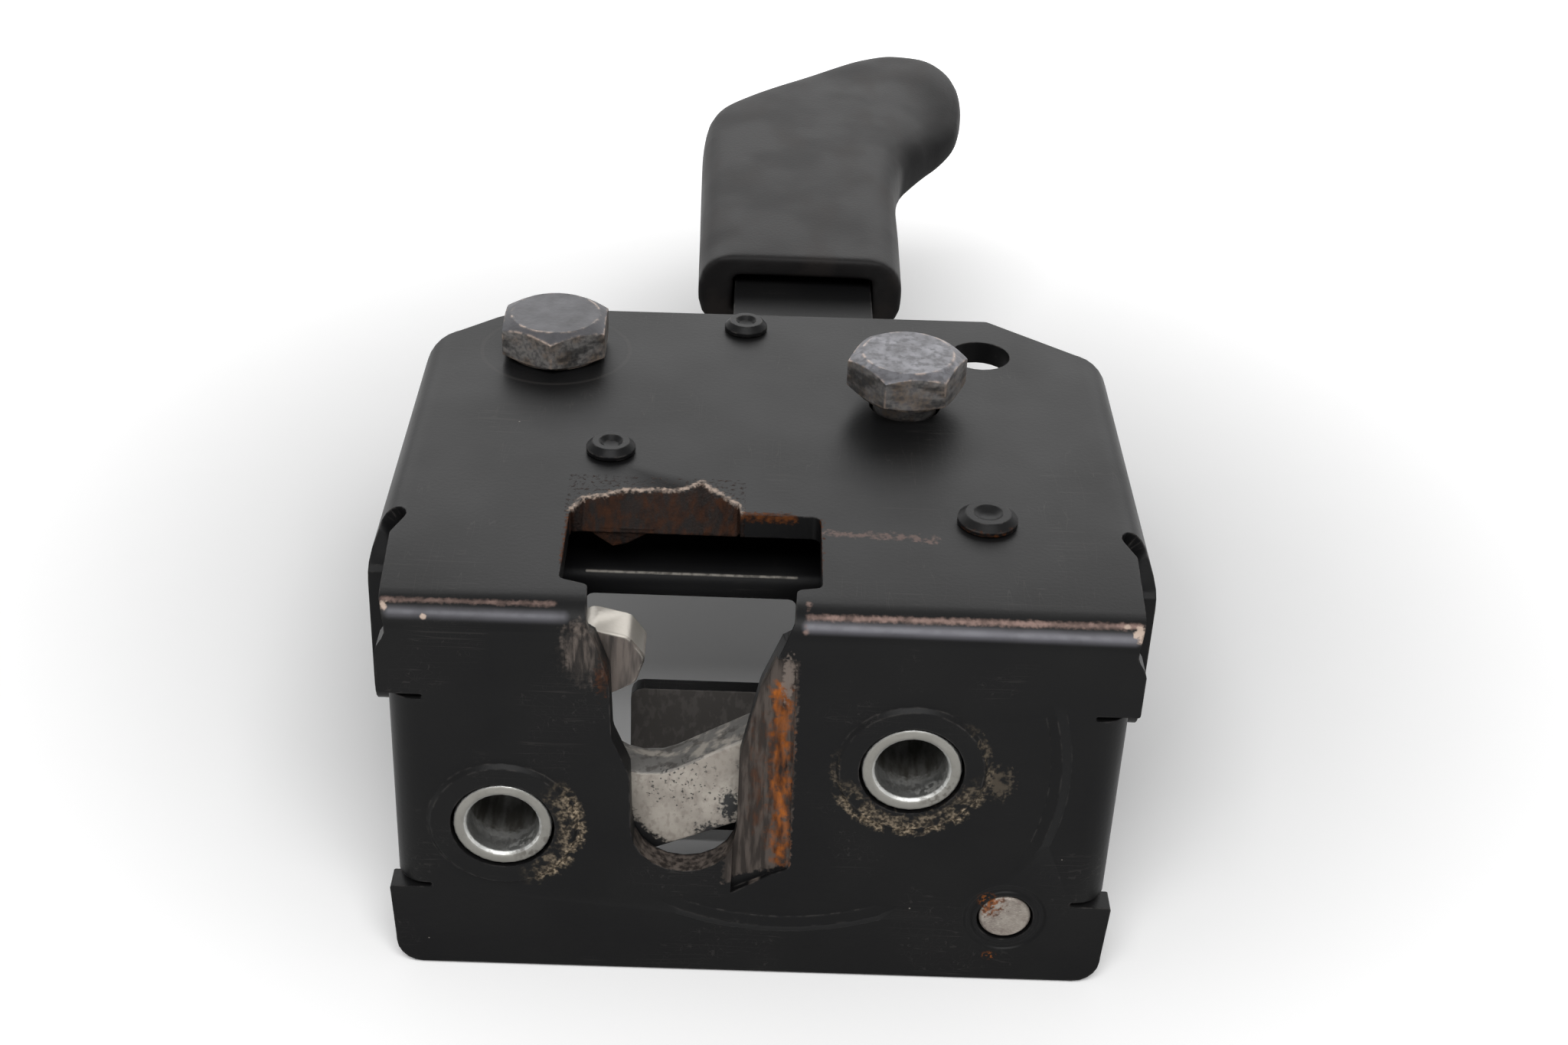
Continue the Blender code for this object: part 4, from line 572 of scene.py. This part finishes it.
def moulded_grip_finish():
    """Soft moulded PVC: satin black, greyed by handling, with a fine spark-eroded grain."""
    look = bpy.context.scene.latch_looks
    skin = Finish("moulded_soft_pvc", look.plastic, 0.5, 0.0)
    skin.lay(skin.ramp(skin.noise(11.0, 5.0), 0.2, 0.9), colour=look.plastic_grey, roughness=0.58)
    smears = skin.ramp(skin.noise(7.0, 4.0, (1.0, 0.4, 1.0), (3.0, 5.0, 0.0)), 0.5, 0.95, 0.0, 0.5)
    skin.lay(smears, colour=look.plastic_brown, roughness=0.6)
    # The crook of the toe is darkened and dulled here, because the photo is darker there than the
    # light alone makes it.
    crook = skin.either(skin.patch((31.0, 104.0, -8.0), (13.0, 13.0, 9.0)),
                        skin.patch((24.0, 96.0, -8.0), (8.0, 10.0, 9.0)))
    skin.lay(skin.both(crook, 0.8), colour=look.coat, roughness=0.85)
    # Real grain is about 0.1 mm; it is drawn 0.4 mm wide so that it shows.
    skin.lay(skin.noise(0.4, 3.0), height=0.014)
    return skin.close(0.3 * MM, GRIP_SHEEN)


def link(item):
    """Put an object into the scene."""
    bpy.context.scene.collection.objects.link(item)
    return item


def welded(node):
    """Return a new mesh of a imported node, with its loose triangles joined into plain faces."""
    if node not in frame["nodes"]:
        raise RuntimeError("The packed latch has no node named " + node)
    shape = bmesh.new()
    shape.from_mesh(frame["nodes"][node].data)
    bmesh.ops.remove_doubles(shape, verts=shape.verts, dist=0.002 * MM)
    bmesh.ops.dissolve_limit(shape, angle_limit=radians(0.3), verts=shape.verts, edges=shape.edges)
    shape.verts.index_update()
    mesh = bpy.data.meshes.new(node + "_dressed")
    mesh.from_pydata([vertex.co[:] for vertex in shape.verts], [],
                     [[vertex.index for vertex in face.verts] for face in shape.faces])
    shape.free()
    return mesh


def applied(item):
    """Turn an object's modifiers into its mesh."""
    graph = bpy.context.evaluated_depsgraph_get()
    mesh = bpy.data.meshes.new_from_object(item.evaluated_get(graph), depsgraph=graph)
    item.modifiers.clear()
    item.data = mesh
    return item


def hand_over(piece, node, material):
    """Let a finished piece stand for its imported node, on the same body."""
    piece.data.materials.clear()
    piece.data.materials.append(material)
    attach(piece, BODY_OF[node])
    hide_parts(node)


def dress(node, material, rounding=0.0, crease=32):
    """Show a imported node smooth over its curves, with edges sharper than crease degrees kept sharp.

    With a rounding, in millimetres, those edges are bevelled too.
    """
    piece = link(bpy.data.objects.new(node + "_dressed", welded(node)))
    if rounding:
        bevel = piece.modifiers.new("rounding", "BEVEL")
        bevel.width = rounding * MM
        bevel.segments = 2
        bevel.limit_method = "ANGLE"
        bevel.angle_limit = radians(crease)
        applied(piece)
    piece.data.shade_smooth()
    piece.data.set_sharp_from_angle(angle=radians(crease))
    hand_over(piece, node, material)


class LatchLooks(bpy.types.PropertyGroup):
    """The sizes and colours of the latch's finishes that a user would change."""

    edge_radius: bpy.props.FloatProperty(
        name="Edge radius", description="How far the light rounds the steel's edges",
        default=0.25 * MM, min=0.0, subtype="DISTANCE", unit="LENGTH", precision=5)
    grip_softness: bpy.props.IntProperty(
        name="Grip softness", description="How many times the grip's surface is smoothed", default=5, min=0)


# Each colour's title, what it is for, and its sRGB code.
PALETTE = {
    "coat": ("Coat", "The black dip coat", "#0e0e0f"),
    "coat_film": ("Coat film", "The coat under its dusty film", "#151515"),
    "scuff": ("Scuff", "Scratches and rubbed edges in the coat", "#6a6663"),
    "worn_edge": ("Worn bend", "The brown line rubbed along the front bend", "#8f7870"),
    # The bend highlight colour is painted highlight along the bend's ridge.
    "burnish": ("Burnished bend", "The coat polished grey along the bend's ridge", "#6a696f"),
    "worn_dark": ("Worn dark", "The dark side of rubbed steel", "#322d2a"),
    "worn_light": ("Worn light", "The light side of rubbed steel", "#756b64"),
    "chip": ("Chip", "Steel bared by a knock", "#b5a294"),
    "bare_bright": ("Bright steel", "Steel polished by rubbing", "#9c978f"),
    "claw_cream": ("Claw face", "The claw's rubbed face", "#968f86"),
    "claw_pale": ("Claw face, pale", "The palest rubbed steel of the claw", "#aea79d"),
    "claw_dust": ("Claw edge", "Dusty steel on the claw's upper edges", "#656462"),
    "rust_dark": ("Old rust", "Dark, settled rust", "#241a16"),
    "rust_fresh": ("Fresh rust", "Orange rust", "#a65f28"),
    # This dust colour also paints the highlight along the bracket shelf's edge.
    "dust": ("Dust", "Pale dust and specks", "#9a958d"),
    "dirt_dark": ("Dark dirt", "Damp dirt round the collars", "#3f382f"),
    "dirt_pale": ("Pale dirt", "Dry dirt round the collars", "#a89882"),
    "zinc": ("Zinc", "Bright zinc plate", "#b9bab8"),
    "zinc_bright": ("Bright zinc", "Zinc plate where it is polished", "#dcdcd9"),
    "zinc_spot": ("Zinc spot", "Dull spots in the zinc", "#77756f"),
    "zinc_dull": ("Dull zinc", "Aged zinc plate", "#7d7c79"),
    # The bore colour is painted shade in the bushes' bores, with a little old grease.
    "bore_brown": ("Bore", "Old grease deep in the bushes' bores", "#2e2a22"),
    "bolt_grey": ("Bolt grey", "Dull bolt plating", "#4c4b4e"),
    "bolt_dark": ("Bolt dark", "Dark mottling on the bolts", "#434245"),
    # Bolt pale is the bolts' pale bloom, and also the painted highlight along the bend's crest.
    "bolt_pale": ("Bolt pale", "Pale bloom on the bolts and the bend's crest", "#7d7d82"),
    "bolt_flat": ("Bolt flats", "Plate on the bolts' flats", "#7d7a77"),
    "bolt_brown": ("Bolt brown", "Brown stain on the bolts' flats", "#766a5f"),
    "spring_grey": ("Spring grey", "Oiled spring wire", "#5a5c60"),
    "plastic": ("Grip", "The grip's black PVC", "#181717"),
    "plastic_grey": ("Grip grey", "The grip where handling greyed it", "#1f1e1e"),
    "plastic_brown": ("Grip brown", "Brown smears on the grip", "#272321"),
    "floor": ("Floor", "The plain pale floor", "#f6f6f6"),
}
for key, (title, words, code) in PALETTE.items():
    LatchLooks.__annotations__[key] = bpy.props.FloatVectorProperty(
        name=title, description=words, default=hex_colour(code), size=4, subtype="COLOR", min=0.0, max=1.0)


# Each lamp's name, place and size in metres, power in watts, and whether it lights more than the sheen.
LAMPS = (("key_softbox", (0.0, -0.62, 0.86), (0.9, 0.45), 10.0, True),
         ("sheen_panel", (0.0, 0.85, 0.55), (1.6, 0.6), 7.8, False))
WORLD_LIGHT = 0.18

# How brightly the open floor reads as white, and from where to where that grows, in metres.
FLOOR_GLOW = 0.88
GLOW_CENTRE = (0.005, 0.04)
GLOW_START, GLOW_FULL = 0.06, 0.22
FLOOR_REACH = 4.0

# The camera that the photograph was fitted with: its place in metres, its angles in radians, and its
# sensor and lens in millimetres.
CAMERA_PLACE = (-3.0 * MM, -237.46 * MM, 133.82 * MM)
CAMERA_PITCH, CAMERA_YAW, CAMERA_ROLL = 0.5517, 0.0236, 0.048
SENSOR_WIDTH = 36.0
LENS = SENSOR_WIDTH * 2923.5 / 2048


class LATCH_OT_light_the_stage(bpy.types.Operator):
    """Lay the pale floor, hang the soft lamps and set up the camera"""

    bl_idname = "latch.light_the_stage"
    bl_label = "Light the Stage"

    def execute(self, context):
        self.lay_floor(context.scene.latch_looks)
        self.hang_lamps()
        self.fill_world(context.scene)
        self.aim_camera(context.scene)
        context.scene.view_settings.view_transform = "Standard"
        return {"FINISHED"}

    def seen_directly(self, tree):
        """Return 1 for rays from the camera, from a reflection or through something clear."""
        kinds = [add(tree, "ShaderNodeLightPath", output=name)
                 for name in ("Is Camera Ray", "Is Glossy Ray", "Is Transmission Ray")]
        both = add(tree, "ShaderNodeMath", {0: kinds[0], 1: kinds[1]}, operation="MAXIMUM")
        return add(tree, "ShaderNodeMath", {0: both, 1: kinds[2]}, operation="MAXIMUM")

    def lay_floor(self, look):
        """Lay the floor under the latch's lowest edge."""
        height = CAD_BOX[0][2]
        corners = [(x * FLOOR_REACH, y * FLOOR_REACH, height)
                   for x, y in ((-1, -1), (1, -1), (1, 1), (-1, 1))]
        mesh = bpy.data.meshes.new("floor")
        mesh.from_pydata(corners, [], [(0, 1, 2, 3)])
        floor = link(bpy.data.objects.new("floor", mesh))
        paper = bpy.data.materials.new("matt_white_paper")
        paper.use_nodes = True
        tree = paper.node_tree
        tree.nodes.clear()
        fibre = add(tree, "ShaderNodeTexNoise", {"Scale": 900.0, "Detail": 2.0})
        rough = map_range(tree, fibre, 0.0, 1.0, 0.85, 0.95)
        sheet = add(tree, "ShaderNodeBsdfPrincipled", {"Base Color": look.floor, "Roughness": rough})
        # The open floor reads as white; close to the latch its own shade is kept.
        place = add(tree, "ShaderNodeTexCoord", output="Object")
        away = add(tree, "ShaderNodeVectorMath", {0: place, 1: (*GLOW_CENTRE, height)}, operation="SUBTRACT")
        far = add(tree, "ShaderNodeVectorMath", {0: away}, "Value", operation="LENGTH")
        clear = map_range(tree, far, GLOW_START, GLOW_FULL, 0.0, FLOOR_GLOW)
        glow = add(tree, "ShaderNodeMath", {0: self.seen_directly(tree), 1: clear}, operation="MULTIPLY")
        lit = add(tree, "ShaderNodeEmission", {"Strength": glow})
        surface = add(tree, "ShaderNodeAddShader", {0: sheet, 1: lit})
        add(tree, "ShaderNodeOutputMaterial", {"Surface": surface})
        mesh.materials.append(paper)

    def hang_lamps(self):
        """Hang a wide softbox high in front, and a panel behind that only the sheen shows."""
        for name, place, size, power, lights in LAMPS:
            data = bpy.data.lights.new(name, "AREA")
            data.shape = "RECTANGLE"
            data.size, data.size_y = size
            data.energy = power
            lamp = link(bpy.data.objects.new(name, data))
            lamp.location = place
            lamp.rotation_euler = (-Vector(place)).to_track_quat("-Z", "Y").to_euler()
            lamp.visible_camera = False
            lamp.visible_diffuse = lights

    def fill_world(self, scene):
        """Fill the world with even white, dimmer for the light that it gives than for the eye."""
        world = bpy.data.worlds.new("even_white")
        world.use_nodes = True
        tree = world.node_tree
        tree.nodes.clear()
        level = map_range(tree, self.seen_directly(tree), 0.0, 1.0, WORLD_LIGHT, 1.0)
        plain = add(tree, "ShaderNodeBackground", {"Color": (1.0, 1.0, 1.0, 1.0), "Strength": level})
        add(tree, "ShaderNodeOutputWorld", {"Surface": plain})
        scene.world = world

    def aim_camera(self, scene):
        """Put the camera where the photograph was taken from."""
        data = bpy.data.cameras.new("photo_camera")
        data.sensor_width = SENSOR_WIDTH
        data.lens = LENS
        data.clip_start = 0.01
        camera = link(bpy.data.objects.new("photo_camera", data))
        ahead = Vector((sin(CAMERA_YAW) * cos(CAMERA_PITCH), cos(CAMERA_YAW) * cos(CAMERA_PITCH),
                        -sin(CAMERA_PITCH)))
        level = Vector((cos(CAMERA_YAW), -sin(CAMERA_YAW), 0.0))
        upright = level.cross(ahead)
        right = level * cos(CAMERA_ROLL) + upright * sin(CAMERA_ROLL)
        up = upright * cos(CAMERA_ROLL) - level * sin(CAMERA_ROLL)
        turned = Matrix((right, up, -ahead)).transposed()
        camera.matrix_world = Matrix.Translation(CAMERA_PLACE) @ turned.to_4x4()
        scene.camera = camera


class LATCH_OT_coat_the_housing(bpy.types.Operator):
    """Coat the folded housing and give it its wear, rust and dirt"""

    bl_idname = "latch.coat_the_housing"
    bl_label = "Coat the Housing"

    def execute(self, context):
        dress("housing", housing_finish())
        return {"FINISHED"}


class LATCH_OT_coat_the_bracket(bpy.types.Operator):
    """Coat the carrier bracket, the release lever and the rivets"""

    bl_idname = "latch.coat_the_bracket"
    bl_label = "Coat the Bracket and Levers"

    def execute(self, context):
        dress("carrier_bracket", carrier_finish())
        plain = plain_coat_finish()
        for node in ("release_lever", "lever_rivet", "transfer_rivet", "spring_rivet"):
            dress(node, plain)
        return {"FINISHED"}


class LATCH_OT_rub_the_claw(bpy.types.Operator):
    """Give the claw the bright rubbed steel that the striker leaves"""

    bl_idname = "latch.rub_the_claw"
    bl_label = "Rub the Claw Bright"

    def execute(self, context):
        dress("claw", worn_claw_finish())
        return {"FINISHED"}


class LATCH_OT_plate_the_small_parts(bpy.types.Operator):
    """Zinc-plate the bushes, washers, spacers, pawl and transfer lever, and bare the stud's end"""

    bl_idname = "latch.plate_the_small_parts"
    bl_label = "Plate the Small Parts"

    def execute(self, context):
        look = context.scene.latch_looks
        for name, pivot in (("claw", CLAW_PIVOT), ("pawl", PAWL_PIVOT)):
            plate = zinc_finish(name + "_bush_zinc_plate", look.zinc, look.zinc_bright, pivot)
            dress(name + "_bush", plate, rounding=0.35)
        dull = zinc_finish("aged_zinc_plate", look.zinc_dull, look.zinc)
        for node in ("pawl", "claw_spacer", "pawl_spacer", "transfer_lever", "lever_washer",
                     "transfer_washer"):
            dress(node, dull)
        dress("stop_stud", stud_finish())
        return {"FINISHED"}


class LATCH_OT_weather_the_bolts(bpy.types.Operator):
    """Weather the two bolts and their weld nuts"""

    bl_idname = "latch.weather_the_bolts"
    bl_label = "Weather the Bolts"

    def execute(self, context):
        for side, pale in (("left", 0.25), ("right", 0.85)):
            plate = weathered_bolt_finish("weathered_zinc_bolt_steel_" + side, pale)
            dress("bolt_" + side, plate, crease=18)
            dress("weld_nut_" + side, plate)
        return {"FINISHED"}


class LATCH_OT_oil_the_springs(bpy.types.Operator):
    """Give the three springs their oiled wire"""

    bl_idname = "latch.oil_the_springs"
    bl_label = "Oil the Springs"

    def execute(self, context):
        wire = spring_finish()
        for node in ("claw_spring", "pawl_spring", "lever_spring"):
            dress(node, wire, crease=60)
        return {"FINISHED"}


# Soft hollows and swellings of the grip in millimetres: place, reach, and depth with swellings below 0.
GRIP_DENTS = (
    ((30.5, 109.0), (7.0, 10.0), 3.6),
    ((22.5, 97.0), (4.0, 7.0), 1.2),
    ((26.0, 125.0), (5.0, 6.0), -0.4),
    ((4.0, 80.0), (8.0, 24.0), -0.3),
    ((12.0, 122.0), (10.0, 6.0), 0.35),
    ((-7.0, 56.0), (3.0, 3.0), 0.3),
)
# The dents fade out from the grip's upper face down to its middle height, in millimetres.
DENT_FLOOR, DENT_FADE = -6.0, 6.0
GRIP_VOXEL = 0.55


class LATCH_OT_mould_the_grip(bpy.types.Operator):
    """Mould the lever's soft grip with its rounded rims and dents"""

    bl_idname = "latch.mould_the_grip"
    bl_label = "Mould the Grip"

    def execute(self, context):
        grip = link(bpy.data.objects.new("grip_sleeve_moulded", welded("grip_sleeve")))
        remesh = grip.modifiers.new("skin", "REMESH")
        remesh.mode = "VOXEL"
        remesh.voxel_size = GRIP_VOXEL * MM
        soften = grip.modifiers.new("soften", "SMOOTH")
        soften.factor = 0.5
        soften.iterations = context.scene.latch_looks.grip_softness
        applied(grip)
        for vertex in grip.data.vertices:
            point = vertex.co / MM
            if point.z < DENT_FLOOR:
                continue
            share = min((point.z - DENT_FLOOR) / DENT_FADE, 1.0)
            for (x, y), (wide, long), depth in GRIP_DENTS:
                off = ((point.x - x) / wide) ** 2 + ((point.y - y) / long) ** 2
                vertex.co.z -= share * depth * exp(-off) * MM
        grip.data.shade_smooth()
        hand_over(grip, "grip_sleeve", moulded_grip_finish())
        return {"FINISHED"}


STEPS = (
    LATCH_OT_light_the_stage,
    LATCH_OT_coat_the_housing,
    LATCH_OT_coat_the_bracket,
    LATCH_OT_rub_the_claw,
    LATCH_OT_plate_the_small_parts,
    LATCH_OT_weather_the_bolts,
    LATCH_OT_oil_the_springs,
    LATCH_OT_mould_the_grip,
)


class LATCH_PT_sidebar(bpy.types.Panel):
    """The latch's steps and finishes in the sidebar"""

    bl_idname = "LATCH_PT_sidebar"
    bl_label = "Claw Door Latch"
    bl_space_type = "VIEW_3D"
    bl_region_type = "UI"
    bl_category = "Latch"

    def draw(self, context):
        column = self.layout.column(align=True)
        for step in STEPS:
            column.operator(step.bl_idname)
        for name in ("edge_radius", "grip_softness", *PALETTE):
            self.layout.prop(context.scene.latch_looks, name)


def register():
    """Register the classes and hang the looks on the scene."""
    for item in (LatchLooks, *STEPS, LATCH_PT_sidebar):
        bpy.utils.register_class(item)
    bpy.types.Scene.latch_looks = bpy.props.PointerProperty(type=LatchLooks)


def unregister():
    """Take the looks and the classes away again."""
    del bpy.types.Scene.latch_looks
    for item in reversed((LatchLooks, *STEPS, LATCH_PT_sidebar)):
        bpy.utils.unregister_class(item)


def main():
    """Run every step in order."""
    register()
    for step in STEPS:
        group, name = step.bl_idname.split(".")
        getattr(getattr(bpy.ops, group), name)()


if __name__ == "__main__":
    main()
